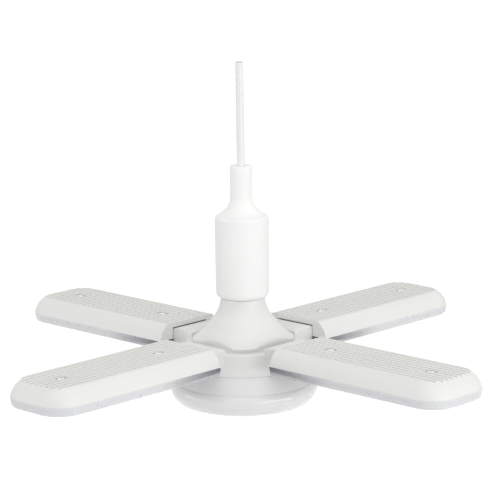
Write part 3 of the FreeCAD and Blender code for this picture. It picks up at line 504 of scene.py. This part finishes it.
chip_frame = speckled("chip_white_polyamide", "F3F1EA", "E9E6DC", 0.8, 0.40, 1.53)
phosphor = speckled("chip_yellow_phosphor", "F0C94E", "D9A52C", 0.5, 0.30, 1.45)
socket_porcelain = speckled("socket_glazed_porcelain", "F2EFE8", "E6E2D8", 3.0, 0.16, 1.50)
black_glass = speckled("cap_black_glass", "26252A", "17161A", 2.0, 0.10, 1.52)
grip_nylon = speckled("grip_white_nylon", "ECEAE4", "DEDBD2", 1.2, 0.45, 1.53)
capacitor_sleeve = speckled("capacitor_black_sleeve", "2E3138", "1E2026", 1.5, 0.30, 1.53)
transformer_tape = speckled("transformer_yellow_tape", "E4C446", "CFA92F", 1.0, 0.35, 1.57)
lead_cover = speckled("lead_grey_silicone", "DAD6CE", "C8C3B8", 1.0, 0.50, 1.41)
print("small finishes:", chip_frame.name, phosphor.name, lead_cover.name)

# %% [markdown]
# The cord's two cores are brown and blue. One finish does both: it looks at which side of the
# axis a point lies on.

# %% Core colours
core_colours, tree, place = new_finish("core_brown_and_blue_pvc")
side = add(tree, "ShaderNodeSeparateXYZ", {"Vector": place})
brown = add(tree, "ShaderNodeMath", {0: side.outputs["X"], 1: 0.0}, operation="GREATER_THAN")
specks = noise(tree, place, size=0.9, detail=2.0)
seal(tree, {"Base Color": blend(tree, brown.outputs["Value"], "2F5FA8", "7A4B2C"), "IOR": 1.53,
            "Roughness": spread(tree, specks, 0.34, 0.46)})
print("core colours:", core_colours.name)

# %% [markdown]
# ## Handing a piece over
# A finished piece gets its material and the body it moves with, and the solids that it stands for
# are hidden.


# %% Fitting a piece
def fit(piece, finishes, slot, body, *stands_for):
    """Gives a piece its finishes, its body and the solids that it stands for; slot is not used."""
    for finish in finishes:
        piece.data.materials.append(finish)
    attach(piece, body)
    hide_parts(*stands_for)
    faces = len(piece.data.polygons) if piece.type == "MESH" else 0
    print(piece.name, "rides on", body, "with", faces, "faces")


def fit_on_blades(piece, name, finishes, slot, node):
    """Copies a finished piece to all four blades and hands each copy over."""
    for i, turn in enumerate(BLADE_TURNS, start=1):
        copy = copy_turned(piece, f"{name}_{i}", turn)
        fit(copy, finishes, slot, f"blade_{i}", f"{node}_{i}")
    bpy.data.objects.remove(piece)


# %% [markdown]
# The cord's cut end shows two cores, each a copper wire in its cover. They are short round pegs
# whose top faces are inset once for the copper.

# %% Cord with its cut end
CORE_OFFSET, CORE_RADIUS, CORE_LENGTH = 1.5 * MM, 1.1 * MM, 8 * MM
CORE_COVER = 0.35 * MM
cores = []
for side_x in (CORE_OFFSET, -CORE_OFFSET):
    clear_bench()
    bpy.ops.mesh.primitive_cylinder_add(vertices=20, radius=CORE_RADIUS, depth=CORE_LENGTH,
                                        location=(side_x, 0, cord_high.z - CORE_LENGTH / 2))
    core = name_piece("cord_core_end")
    bpy.ops.object.mode_set(mode="EDIT")
    pick(core, "faces", lambda spot: spot.z > cord_high.z - NEAR)
    bpy.ops.mesh.inset(thickness=CORE_COVER, depth=0)
    bpy.ops.mesh.extrude_region_move(TRANSFORM_OT_translate={"value": (0, 0, -0.1 * MM)})
    bpy.ops.object.mode_set(mode="OBJECT")
    core.data.materials.append(core_colours)
    core.data.materials.append(copper)
    for face in core.data.polygons:
        x, y, z = face.center
        on_axis = abs(x - side_x) < NEAR and abs(y) < NEAR
        face.material_index = 1 if on_axis and z > cord_high.z - MM else 0
    cores.append(core)
cord_core_ends = join_pieces(cores, "cord_core_ends")
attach(cord_core_ends, "holder")
fit(hanging_cord, [cord_pvc], "cord", "holder", "cord")

# %% [markdown]
# ## The sleeve
# A soft silicone sleeve covers the lampholder: a straight body with a round foot, a shoulder, and
# a neck that grips the cord. Such a shape could be built from a cylinder in many steps. It is
# quicker to draw half of its section once and spin it. The foot is drawn a little below the
# solid's, so that the gap over the neck is only a fine line.

# %% Sleeve
sleeve_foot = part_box("holder_cover")[0].z
FOOT_HEIGHT = -0.4
sleeve_outline = [(15.5, FOOT_HEIGHT), (16.3, FOOT_HEIGHT)]
sleeve_outline += arc((16.3, FOOT_HEIGHT), (21.1, 4.6), 5, 1)
sleeve_outline += [(21.1, 63)] + arc((21.1, 63), (19.6, 64.5), 1.5, 1, 6)
sleeve_outline += [(14.9, 68.2)] + arc((14.9, 68.2), (8.7, 79.8258), 14, -1)
sleeve_outline += [(8.7, 103.4)] + arc((8.7, 103.4), (7.9, 104.2258), 0.82, 1, 5)
sleeve_outline += [(2.85, 104.2258), (2.85, 100.2), (6.3, 100.2), (6.3, 68.2)]
sleeve_outline += [(19.2, 63), (19.2, 2), (15.5, 2), (15.5, FOOT_HEIGHT)]
sleeve = turned("silicone_sleeve", sleeve_outline, sleeve_foot, 112)
smooth(sleeve, 40)
fit(sleeve, [sleeve_silicone], "sleeve", "holder", "holder_cover")

# %% [markdown]
# ## The neck
# Below the sleeve the lamp's neck opens like a trumpet into a round skirt, with a narrower band
# under its lip. Where the four hinge tongues come out, the skirt is flat. A plain cut would leave
# a sharp arch in the flare, so its points are first pressed flat and smoothed there. The outside
# and the inside are then cut flat with the bisect tool, and the inside is carved out of the
# outside.


# %% Flats of the skirt
SIDES = ((1, 0), (0, 1), (-1, 0), (0, -1))
LIP_KEPT = 0.7 * MM


def press_flats(piece, distance, low, high):
    """Presses the flare flat on its four sides between two heights and blends the flats into it."""
    make_active(piece)
    bpy.ops.object.mode_set(mode="EDIT")
    for across, along in SIDES:
        pick(piece, "verts", lambda spot: spot.z > low
             and spot.x * across + spot.y * along > distance * MM)
        bpy.ops.transform.resize(value=(0 if across else 1, 0 if along else 1, 1),
                                 center_override=(across * distance * MM, along * distance * MM, 0))
    pick(piece, "verts", lambda spot: low + LIP_KEPT < spot.z < high)
    bpy.ops.mesh.vertices_smooth(factor=0.5, repeat=10)
    bpy.ops.object.mode_set(mode="OBJECT")


def cut_flats(piece, distance):
    """Cuts the round skirt flat on its four sides and closes the cuts."""
    make_active(piece)
    bpy.ops.object.mode_set(mode="EDIT")
    for across, along in SIDES:
        bpy.ops.mesh.select_all(action="SELECT")
        bpy.ops.mesh.bisect(plane_co=(across * distance * MM, along * distance * MM, 0),
                            plane_no=(across, along, 0), use_fill=True, clear_outer=True)
    bpy.ops.object.mode_set(mode="OBJECT")


# %% Neck
OUTER_FLAT, INNER_FLAT = 34, 32
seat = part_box("neck_housing")[1].z - 8 * MM
neck_outline = [(0, -36), (38, -36), (38, -33.5), (39.7, -33.5), (40, -33.2), (40, -32.95)]
neck_outline += [(39.7, -32.5)] + arc((39.7, -32.5), (25, -17.5), 50, -1, 14)
neck_outline += arc((25, -17.5), (17.4, 0), 29.6, -1, 14) + [(12.1, 0), (12.1, 8), (0, 8)]
neck = turned("trumpet_neck", neck_outline, seat, 128)
press_flats(neck, OUTER_FLAT - 0.1, low=seat - 32.0 * MM, high=seat - 21 * MM)
cut_flats(neck, OUTER_FLAT)
hollow_outline = [(0, -37), (36, -37), (36, -34.7)]
hollow_outline += arc((36, -34.7), (23.5, -18.8), 52, -1, 12)
hollow_outline += arc((23.5, -18.8), (15.4, -3), 31.6, -1, 12) + [(8, -3), (8, 9), (0, 9)]
hollow = turned("neck_hollow", hollow_outline, seat, 96)
cut_flats(hollow, INNER_FLAT)
carve(neck, hollow)
smooth(neck, 30)
fit(neck, [neck_abs], "housing", "lamp", "neck_housing")

# %% [markdown]
# ## The hub
# Under the skirt sits a round drum whose upper edge is rounded and catches the light. Four hinge
# tongues grow out of it. A tongue has an arched top and a round end about its hinge pin. One
# tongue is drawn as a side outline, drawn out to its width, rounded along its rim and copied
# round the drum.

# %% Hub drum
DRUM_HEIGHT = 18.1
hub_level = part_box("hub_body")[0].z + DRUM_HEIGHT * MM
drum_outline = [(6, -DRUM_HEIGHT), (45.7, -DRUM_HEIGHT), (46, -17.8), (46, -1.5)]
drum_outline += arc((46, -1.5), (44.5, 0), 1.5, 1, 6)
drum_outline += [(22, 0), (22, -2.5), (43, -2.5), (43, -15.6), (6, -15.6), (6, -DRUM_HEIGHT)]
drum = turned("hub_drum", drum_outline, hub_level, 128)
print("hub drum has", len(drum.data.polygons), "faces")

# %% Hinge tongue
ARCH_TOP, ARCH_ROUND, ARCH_HALF = 5.6, 31, 10.2
ARCH_FOOT = ARCH_TOP - ARCH_ROUND + sqrt(ARCH_ROUND ** 2 - ARCH_HALF ** 2)
PIN_REACH, PIN_DROP = 66, 4
TONGUE_HALF = 18.5
tongue_outline = [(40.3, -10), (PIN_REACH, -10)]
tongue_outline += arc((PIN_REACH, -10), (72, -PIN_DROP), 6, 1)
tongue_outline += arc((72, -PIN_DROP), (PIN_REACH, 2), 6, 1) + [(60.8, ARCH_FOOT)]
tongue_outline += arc((60.8, ARCH_FOOT), (40.4, ARCH_FOOT), ARCH_ROUND, 1, 16)
tongue_outline += [(39.6, ARCH_FOOT - 0.4), (39.6, -0.1), (40.3, -0.1)]
tongue = slab("hinge_tongue", tongue_outline, hub_level, TONGUE_HALF)
bpy.ops.object.mode_set(mode="EDIT")
pick(tongue, "edges", lambda spot: abs(spot.y) > TONGUE_HALF * MM - NEAR
     and spot.z > hub_level + 0.5 * MM and 39.8 * MM < spot.x < 66.5 * MM)
bpy.ops.mesh.bevel(offset=1.0 * MM, segments=4, affect="EDGES")
bpy.ops.object.mode_set(mode="OBJECT")
clear_bench()
bpy.ops.mesh.primitive_cylinder_add(vertices=40, radius=2.05 * MM, depth=40 * MM,
                                    location=(PIN_REACH * MM, 0, hub_level - PIN_DROP * MM),
                                    rotation=(pi / 2, 0, 0))
carve(tongue, name_piece("pin_bore"))

# %% Hub
tongues = [copy_turned(tongue, f"hinge_tongue_{i}", turn)
           for i, turn in enumerate(BLADE_TURNS, start=1)]
bpy.data.objects.remove(tongue)
hub = join_pieces([drum] + tongues, "hinge_hub")
smooth(hub, 30)
fit(hub, [neck_abs], "housing", "lamp", "hub_body")

# %% [markdown]
# ## The dish
# Under the drum a steep cone carries the middle light board, and an opal bowl closes it from
# below. Both are turned pieces. The bowl's wall is drawn with its true thickness, so that light
# soaks into it as it does in the real one.

# %% Dish cone and bowl
dish_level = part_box("dish_housing")[1].z
cone_outline = [(6, -2.2), (44.4, -2.2), (54.6, -14.6), (54.6, -12.7), (54.4, -12.09)]
cone_outline += [(46.75, -0.23), (46.3, 0), (6, 0), (6, -2.2)]
dish_cone = turned("dish_cone", cone_outline, dish_level, 128)
smooth(dish_cone, 35)
fit(dish_cone, [dish_abs], "housing", "lamp", "dish_housing")

bowl_outline = [(0, -34.2)] + arc((0, -34.2), (47, -30.3), 285, 1, 14)
bowl_outline += arc((47, -30.3), (57.8, -20.4), 13.8, 1, 12)
bowl_outline += arc((57.8, -20.4), (55.4, -12.4), 7.4, 1, 10)
bowl_outline += [(54.65, -12.4), (54.65, -14.6), (55.8, -20.4)]
bowl_outline += arc((55.8, -20.4), (46, -28.3), 11.8, -1, 10)
bowl_outline += arc((46, -28.3), (0, -32.2), 285, -1, 12)
bowl = turned("opal_bowl", bowl_outline, dish_level, 144)
smooth(bowl, 35)
fit(bowl, [bowl_opal], "diffuser", "lamp", "dish_diffuser")

# %% [markdown]
# ## A blade's housing
# Each blade is a long ribbed lid with leaning sides and a round tip. A plan of it is drawn flat,
# its two outer corners are rounded, and each inset with a depth raises a leaning wall. The
# grooves, the screw recesses, the hollow below and the hinge mouth are then carved, because they
# cross the rounded form.


# %% Blade plan
BLADE_REACH, BLADE_HALF, TIP_CORNER = 225, 33.6, 22
HUB_END, HOLLOW_END = 60, 76
TIP_SIDE = 150 * MM
SCREW_REACHES = (92.8, 192.0)


def blade_plan(name, start, inset, level):
    """A flat plan of the blade, drawn in by an inset: square towards the hub, round at the tip."""
    reach, half, corner = BLADE_REACH - inset, BLADE_HALF - inset, TIP_CORNER - inset
    clear_bench()
    bpy.ops.mesh.primitive_plane_add(size=MM, location=((start + reach) / 2 * MM, 0, level))
    bpy.context.active_object.scale = (reach - start, 2 * half, 1)
    plan = name_piece(name)
    bpy.ops.object.mode_set(mode="EDIT")
    pick(plan, "verts", lambda spot: spot.x > TIP_SIDE)
    bpy.ops.mesh.bevel(offset=corner * MM, segments=14, affect="VERTICES")
    bpy.ops.mesh.select_mode(type="FACE")
    bpy.ops.mesh.select_all(action="SELECT")
    return plan


def raise_plan(height):
    bpy.ops.mesh.extrude_region_move(TRANSFORM_OT_translate={"value": (0, 0, height * MM)})


def square_end(distance):
    """Cuts the blade square at its hub end and closes the cut."""
    bpy.ops.mesh.select_all(action="SELECT")
    bpy.ops.mesh.normals_make_consistent(inside=False)
    bpy.ops.mesh.bisect(plane_co=(distance * MM, 0, 0), plane_no=(1, 0, 0), use_fill=True,
                        clear_inner=True)
    bpy.ops.object.mode_set(mode="OBJECT")


# %% Housing form
blade_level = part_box("blade_housing_1")[1].z
LID_HEIGHT, ROOF_HEIGHT = 12.6 * MM, 5.6 * MM
foot_level = blade_level - LID_HEIGHT
housing = blade_plan("blade_lid", 30, 0, foot_level)
raise_plan(0.4)
bpy.ops.mesh.inset(thickness=2.6 * MM, depth=6.6 * MM)
bpy.ops.mesh.inset(thickness=5.5 * MM, depth=ROOF_HEIGHT)
pick(housing, "verts", lambda spot: spot.z > blade_level - NEAR and spot.x > TIP_SIDE)
bpy.ops.transform.translate(value=(-1.4 * MM, 0, 0))
pick(housing, "edges", lambda spot: abs(spot.z - blade_level + ROOF_HEIGHT) < NEAR)
bpy.ops.mesh.bevel(offset=3.0 * MM, segments=5, affect="EDGES")
pick(housing, "edges", lambda spot: spot.z > blade_level - NEAR)
bpy.ops.mesh.bevel(offset=0.8 * MM, segments=3, affect="EDGES")
square_end(HUB_END)
print("housing form has", len(housing.data.polygons), "faces")

# %% Housing hollow and hinge mouth
hollow = blade_plan("blade_hollow", 50, 2.0, foot_level - 0.5 * MM)
raise_plan(0.5)
bpy.ops.mesh.inset(thickness=6.1 * MM, depth=10 * MM)
square_end(HOLLOW_END)
carve(housing, hollow)
MOUTH_HALF, MOUTH_ROOF = 19, -3.4
mouth_outline = [(50, -25), (72.8, -25), (72.8, -12.5)]
mouth_outline += arc((72.8, -12.5), (PIN_REACH, -5.7), 6.8, 1)
mouth_outline += [(65.2, -5.7), (65.2, MOUTH_ROOF), (50, MOUTH_ROOF)]
carve(housing, slab("hinge_mouth", mouth_outline, blade_level, MOUTH_HALF))

# %% Housing grooves
GROOVE_COUNT, GROOVE_PITCH = 9, 5.2 * MM
GROOVE_WIDTH, GROOVE_FLOOR = 2.6, 1.2
LID_FINISHES = (blade_abs, groove_shade_abs, recess_shade_abs)
groove_x = 140 * MM
first_groove = (groove_x, -(GROOVE_COUNT // 2) * GROOVE_PITCH, blade_level)
groove = block("rib_groove", (200, GROOVE_WIDTH, 2), first_groove)
bpy.ops.object.mode_set(mode="EDIT")
pick(groove, "faces", lambda spot: spot.z < blade_level - 0.5 * MM)
bpy.ops.transform.resize(value=(1, GROOVE_FLOOR / GROOVE_WIDTH, 1), center_override=first_groove)
pick(groove, "edges", lambda spot: spot.z < blade_level - 0.9 * MM and abs(spot.x - groove_x) < MM)
bpy.ops.mesh.bevel(offset=0.25 * MM, segments=2, affect="EDGES")
bpy.ops.object.mode_set(mode="OBJECT")
apply_modifier(groove, "ARRAY", count=GROOVE_COUNT, use_relative_offset=False,
               use_constant_offset=True, constant_offset_displace=(0, GROOVE_PITCH, 0))
for piece in (housing, groove):
    for finish in LID_FINISHES:
        piece.data.materials.append(finish)
# The groove faces get the darker white: painted shade in the grooves.
for face in groove.data.polygons:
    face.material_index = LID_FINISHES.index(groove_shade_abs)
carve(housing, groove)

# %% Housing screw recesses
RECESS_DEPTH = 1.7 * MM
for reach in SCREW_REACHES:
    clear_bench()
    bpy.ops.mesh.primitive_plane_add(size=MM, location=(reach * MM, 0, blade_level - RECESS_DEPTH))
    bpy.context.active_object.scale = (11, 6.4, 1)
    recess = name_piece("screw_recess")
    bpy.ops.object.mode_set(mode="EDIT")
    bpy.ops.mesh.select_all(action="SELECT")
    bpy.ops.mesh.bevel(offset=3.19 * MM, segments=8, affect="VERTICES")
    bpy.ops.mesh.select_all(action="SELECT")
    raise_plan(3.0)
    bpy.ops.mesh.select_all(action="SELECT")
    bpy.ops.mesh.normals_make_consistent(inside=False)
    bpy.ops.object.mode_set(mode="OBJECT")
    for finish in LID_FINISHES:
        recess.data.materials.append(finish)
    # The level faces of the recess get the darker white: painted shade on the recess floor.
    for face in recess.data.polygons:
        level_face = abs(face.normal.z) > 0.9
        face.material_index = LID_FINISHES.index(recess_shade_abs if level_face else blade_abs)
    carve(housing, recess)
smooth(housing, 28)
fit_on_blades(housing, "blade_lid", [], "housing", "blade_housing")

# %% [markdown]
# ## A blade's lens
# The lens is a clear tray with a flange against the housing, two snap tabs on each long side and
# a rounded foot. It is raised from the same plan as the housing, foot first, and hollowed with a
# smaller copy, so that its wall has an even thickness.

# %% Lens form
LENS_HEIGHT, FLANGE_HEIGHT = 7.2, 2.4
TAB_REACHES = (104, 186)
lens_foot = foot_level - LENS_HEIGHT * MM
lens = blade_plan("blade_tray", 30, 0.6, lens_foot)
raise_plan(LENS_HEIGHT - FLANGE_HEIGHT)
pick(lens, "edges", lambda spot: spot.z < lens_foot + NEAR)
bpy.ops.mesh.bevel(offset=2.2 * MM, segments=5, affect="EDGES")
square_end(HUB_END)
flange = blade_plan("tray_flange", 30, 0, foot_level - FLANGE_HEIGHT * MM)
raise_plan(FLANGE_HEIGHT)
square_end(HUB_END)
carve(lens, flange, "UNION")
for reach in TAB_REACHES:
    tab = block("snap_tab", (2, 2 * BLADE_HALF, 2), (reach * MM, 0, foot_level - 3.2 * MM))
    soften(tab, 0.3)
    carve(lens, tab, "UNION")

# %% Lens hollow
LENS_FLOOR = 1.7 * MM
hollow = blade_plan("tray_hollow", 50, 2.3, lens_foot + LENS_FLOOR)
raise_plan(8)
pick(hollow, "edges", lambda spot: spot.z < lens_foot + LENS_FLOOR + NEAR)
bpy.ops.mesh.bevel(offset=0.9 * MM, segments=3, affect="EDGES")
square_end(HOLLOW_END)
carve(lens, hollow)
carve(lens, slab("tray_mouth", mouth_outline, blade_level, MOUTH_HALF))
smooth(lens, 30)
fit_on_blades(lens, "blade_tray", [lens_clear], "lens", "blade_lens")

# %% [markdown]
# ## Screws
# Two pan-head screws hold each blade together. A cylinder gets a rounded rim, and a cross is
# carved into its head. Two copies make the pair of a blade.

# %% Blade screw
clear_bench()
bpy.ops.mesh.primitive_cylinder_add(vertices=40, radius=2.8 * MM, depth=1.3 * MM,
                                    location=(0, 0, blade_level - 1.05 * MM))
screw = name_piece("pan_head_screw")
bpy.ops.object.mode_set(mode="EDIT")
pick(screw, "edges", lambda spot: spot.z > blade_level - 0.5 * MM)
bpy.ops.mesh.bevel(offset=0.7 * MM, segments=4, affect="EDGES")
pick(screw, "faces", lambda spot: spot.z < blade_level - 1.69 * MM)
bpy.ops.mesh.inset(thickness=1.3 * MM, depth=0)
bpy.ops.mesh.extrude_region_move(TRANSFORM_OT_translate={"value": (0, 0, -9.8 * MM)})
bpy.ops.object.mode_set(mode="OBJECT")
for wide, deep in ((3.0, 0.7), (0.7, 3.0)):
    cross = block("cross_slot", (wide, deep, 2.0), (0, 0, blade_level - 0.4 * MM))
    bpy.ops.object.mode_set(mode="EDIT")
    pick(cross, "faces", lambda spot: spot.z < blade_level - 1.3 * MM)
    bpy.ops.transform.resize(value=(0.7, 0.7, 1), center_override=(0, 0, blade_level))
    bpy.ops.object.mode_set(mode="OBJECT")
    carve(screw, cross)
smooth(screw, 35)

# %% Screw pairs
pair = []
for reach in SCREW_REACHES:
    twin = copy_turned(screw, "pan_head_screw", 0)
    twin.location = (reach * MM, 0, 0)
    pair.append(twin)
bpy.data.objects.remove(screw)
screw_pair = join_pieces(pair, "screw_pair")
fit_on_blades(screw_pair, "blade_screw_pair", [zinc_steel], "steel", "blade_screws")

# %% [markdown]
# ## Light chips
# A chip is a white frame, three millimetres square, with a shallow well of yellow phosphor. It
# has only a few faces, because there are nearly two hundred of them. The solids already say where
# each chip sits, so one is made and set at every place of the same rows.

# %% One chip
CHIP_SIDE, CHIP_HEIGHT = 3, 0.8
chip = block("light_chip", (CHIP_SIDE, CHIP_SIDE, CHIP_HEIGHT), (0, 0, -CHIP_HEIGHT / 2 * MM))
bpy.ops.object.mode_set(mode="EDIT")
pick(chip, "faces", lambda spot: spot.z < -0.7 * MM)
bpy.ops.mesh.inset(thickness=0.4 * MM, depth=0)
bpy.ops.mesh.inset(thickness=0.15 * MM, depth=-0.2 * MM)
bpy.ops.object.mode_set(mode="OBJECT")
chip.data.materials.append(chip_frame)
chip.data.materials.append(phosphor)
for face in chip.data.polygons:
    x, y, z = face.center
    face.material_index = 1 if abs(x) < NEAR and abs(y) < NEAR and z < -0.3 * MM else 0


# %% Chips in their rows
def set_chips(name, spots, level, body, node):
    """Copies the chip to every spot, given as x and y in mm and a turn in degrees."""
    chips = []
    for x, y, turn in spots:
        twin = bpy.data.objects.new("light_chip", chip.data.copy())
        bpy.context.scene.collection.objects.link(twin)
        twin.location = (x * MM, y * MM, level)
        twin.rotation_euler = (0, 0, radians(turn))
        chips.append(twin)
    group = join_pieces(chips, name)
    fit(group, [], "chip", body, node)
    print(name, "has", len(spots), "chips")


CHIP_ROWS, CHIPS_IN_ROW = (-14, 0, 14), 14
FIRST_CHIP, CHIP_PITCH = 87, 9
CLEAR_OF_SCREW = 5


def blade_chip_spots(turn):
    """The places of a blade's chips, without those that a screw takes."""
    across, along = round(cos(radians(turn))), round(sin(radians(turn)))
    spots = []
    for row in CHIP_ROWS:
        for column in range(CHIPS_IN_ROW):
            x = FIRST_CHIP + CHIP_PITCH * column
            nearest = min(sqrt((x - screw_x) ** 2 + row ** 2) for screw_x in SCREW_REACHES)
            if nearest > CLEAR_OF_SCREW:
                spots.append((x * across - row * along, x * along + row * across, 0))
    return spots


for i, turn in enumerate(BLADE_TURNS, start=1):
    chip_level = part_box(f"blade_leds_{i}")[1].z
    set_chips(f"blade_chips_{i}", blade_chip_spots(turn), chip_level, f"blade_{i}",
              f"blade_leds_{i}")
rings = []
for count, radius in ((8, 20), (16, 37)):
    for i in range(count):
        turn = 360 * (i + 0.5) / count
        rings.append((radius * cos(radians(turn)), radius * sin(radians(turn)), turn))
set_chips("dish_chips", rings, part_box("dish_leds")[1].z, "lamp", "dish_leds")
bpy.data.objects.remove(chip)

# %% [markdown]
# ## Finishes for the solids that stay
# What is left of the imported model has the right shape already: boards, pins, hidden screws and
# the works inside the lampholder. Each only gets the finish of its real material.


# %% Finishes of the kept solids
def on_blades(name):
    return [f"{name}_{i}" for i in (1, 2, 3, 4)]


kept_finishes = {
    cord_pvc: ["cord_tail"],
    grip_nylon: ["cord_grip"],
    socket_porcelain: ["socket_body"],
    brass: ["socket_screw_shell", "socket_contact", "terminals", "cap_contact"],
    core_colours: ["cord_cores"],
    plated_cap: ["cap_shell"],
    black_glass: ["cap_insulator"],
    driver_green: ["driver_board"],
    capacitor_sleeve: ["driver_capacitors"],
    transformer_tape: ["driver_transformer"],
    lead_cover: ["lamp_leads", "hub_leads", "dish_leads"] + on_blades("blade_lead"),
    light_board: ["dish_led_board"] + on_blades("blade_led_board"),
    nickel_steel: ["terminal_screws", "hub_screws", "dish_screws", "board_screws"]
                  + on_blades("hinge_pin"),
}
for finish, names in kept_finishes.items():
    for name in names:
        nodes[name].data.materials.clear()
        nodes[name].data.materials.append(finish)
bare = [name for name, node in nodes.items() if not node.hide_render
        and not any(name in names for names in kept_finishes.values())]
print("solids still without a finish:", bare)

# %% [markdown]
# ## Floor and background
# The lamp hangs in the air in front of white. A wide pale floor lies below it and keeps its
# shadow. A little light of its own, seen only by the camera, in reflections and through clear
# plastic, brings it up to the white of the background.


# %% Floor and background
def seen_directly(tree):
    """1 where the camera, a mirror or clear plastic looks, and 0 for the light on the lamp."""
    path = add(tree, "ShaderNodeLightPath", {})
    mirrored = larger(tree, path.outputs["Is Camera Ray"], path.outputs["Is Glossy Ray"])
    return larger(tree, mirrored, path.outputs["Is Transmission Ray"])


WORLD_LIGHT = 0.56
FLOOR_LIFT = 0.58
FLOOR_SIZE, FLOOR_DROP = 40, 0.75
clear_bench()
bpy.ops.mesh.primitive_plane_add(size=FLOOR_SIZE, location=(0, 0, cad_low.z - FLOOR_DROP))
floor = bpy.context.active_object
floor.name = "pale_floor"
floor_paint = bpy.data.materials.new("pale_floor_paint")
floor_paint.use_nodes = True
tree = floor_paint.node_tree
tree.nodes.clear()
matte = add(tree, "ShaderNodeBsdfDiffuse", {"Color": ink("F3F3F3")})
missing = add(tree, "ShaderNodeMath", {0: seen_directly(tree), 1: FLOOR_LIFT}, operation="MULTIPLY")
lift = add(tree, "ShaderNodeEmission", {"Color": (1, 1, 1, 1), "Strength": missing.outputs[0]})
both = add(tree, "ShaderNodeAddShader", {0: matte.outputs[0], 1: lift.outputs[0]})
add(tree, "ShaderNodeOutputMaterial", {"Surface": both.outputs[0]})
floor.data.materials.append(floor_paint)
print("floor lies", FLOOR_DROP, "m under the lamp")

# %% White room
world = bpy.data.worlds.new("white_studio")
bpy.context.scene.world = world
world.use_nodes = True
tree = world.node_tree
tree.nodes.clear()
white = spread(tree, seen_directly(tree), WORLD_LIGHT, 1.0)
sky = add(tree, "ShaderNodeBackground", {"Color": (1, 1, 1, 1), "Strength": white})
add(tree, "ShaderNodeOutputWorld", {"Surface": sky.outputs[0]})

# %% [markdown]
# ## Studio light
# Two softboxes stand left and right in front of the lamp. Their mirror images on the bowl give
# their places away: both are long, stand level with the blades and shine along them, so that
# light also reaches the bowl below. The right one is the stronger. Two weak fills, from the front
# and from above, leave no mirror image, and the white room does the rest.


# %% Softboxes
def softbox(name, azimuth, elevation, distance, wide, high, watts, mirrored=True):
    """A rectangular lamp, placed round the blades and aimed at their middle."""
    data = bpy.data.lights.new(name, "AREA")
    data.shape = "RECTANGLE"
    data.size, data.size_y, data.energy = wide, high, watts
    lamp = bpy.data.objects.new(name, data)
    bpy.context.scene.collection.objects.link(lamp)
    turn, rise = radians(azimuth), radians(elevation)
    middle = Vector((0, 0, blade_level))
    away = Vector((sin(turn) * cos(rise), -cos(turn) * cos(rise), sin(rise)))
    lamp.location = middle + away * distance
    lamp.rotation_mode = "QUATERNION"
    lamp.rotation_quaternion = (-away).to_track_quat("-Z", "Y")
    lamp.visible_camera = False
    lamp.visible_glossy = mirrored
    print(name, watts, "W at", [round(v, 2) for v in lamp.location])


softbox("left_softbox", azimuth=-35, elevation=2, distance=1.6, wide=1.5, high=0.4, watts=4.0)
softbox("right_softbox", azimuth=94, elevation=3, distance=1.6, wide=1.5, high=0.4, watts=7.4)
softbox("front_fill", azimuth=52, elevation=10, distance=3.0, wide=1.6, high=1.2, watts=9,
        mirrored=False)
softbox("top_fill", azimuth=46, elevation=75, distance=1.6, wide=1.2, high=1.2, watts=7.6,
        mirrored=False)

# %% [markdown]
# ## Last look
# The scene picture uses plain screen colours.

# %% Finish
bpy.context.scene.view_settings.view_transform = "Standard"
clear_bench()
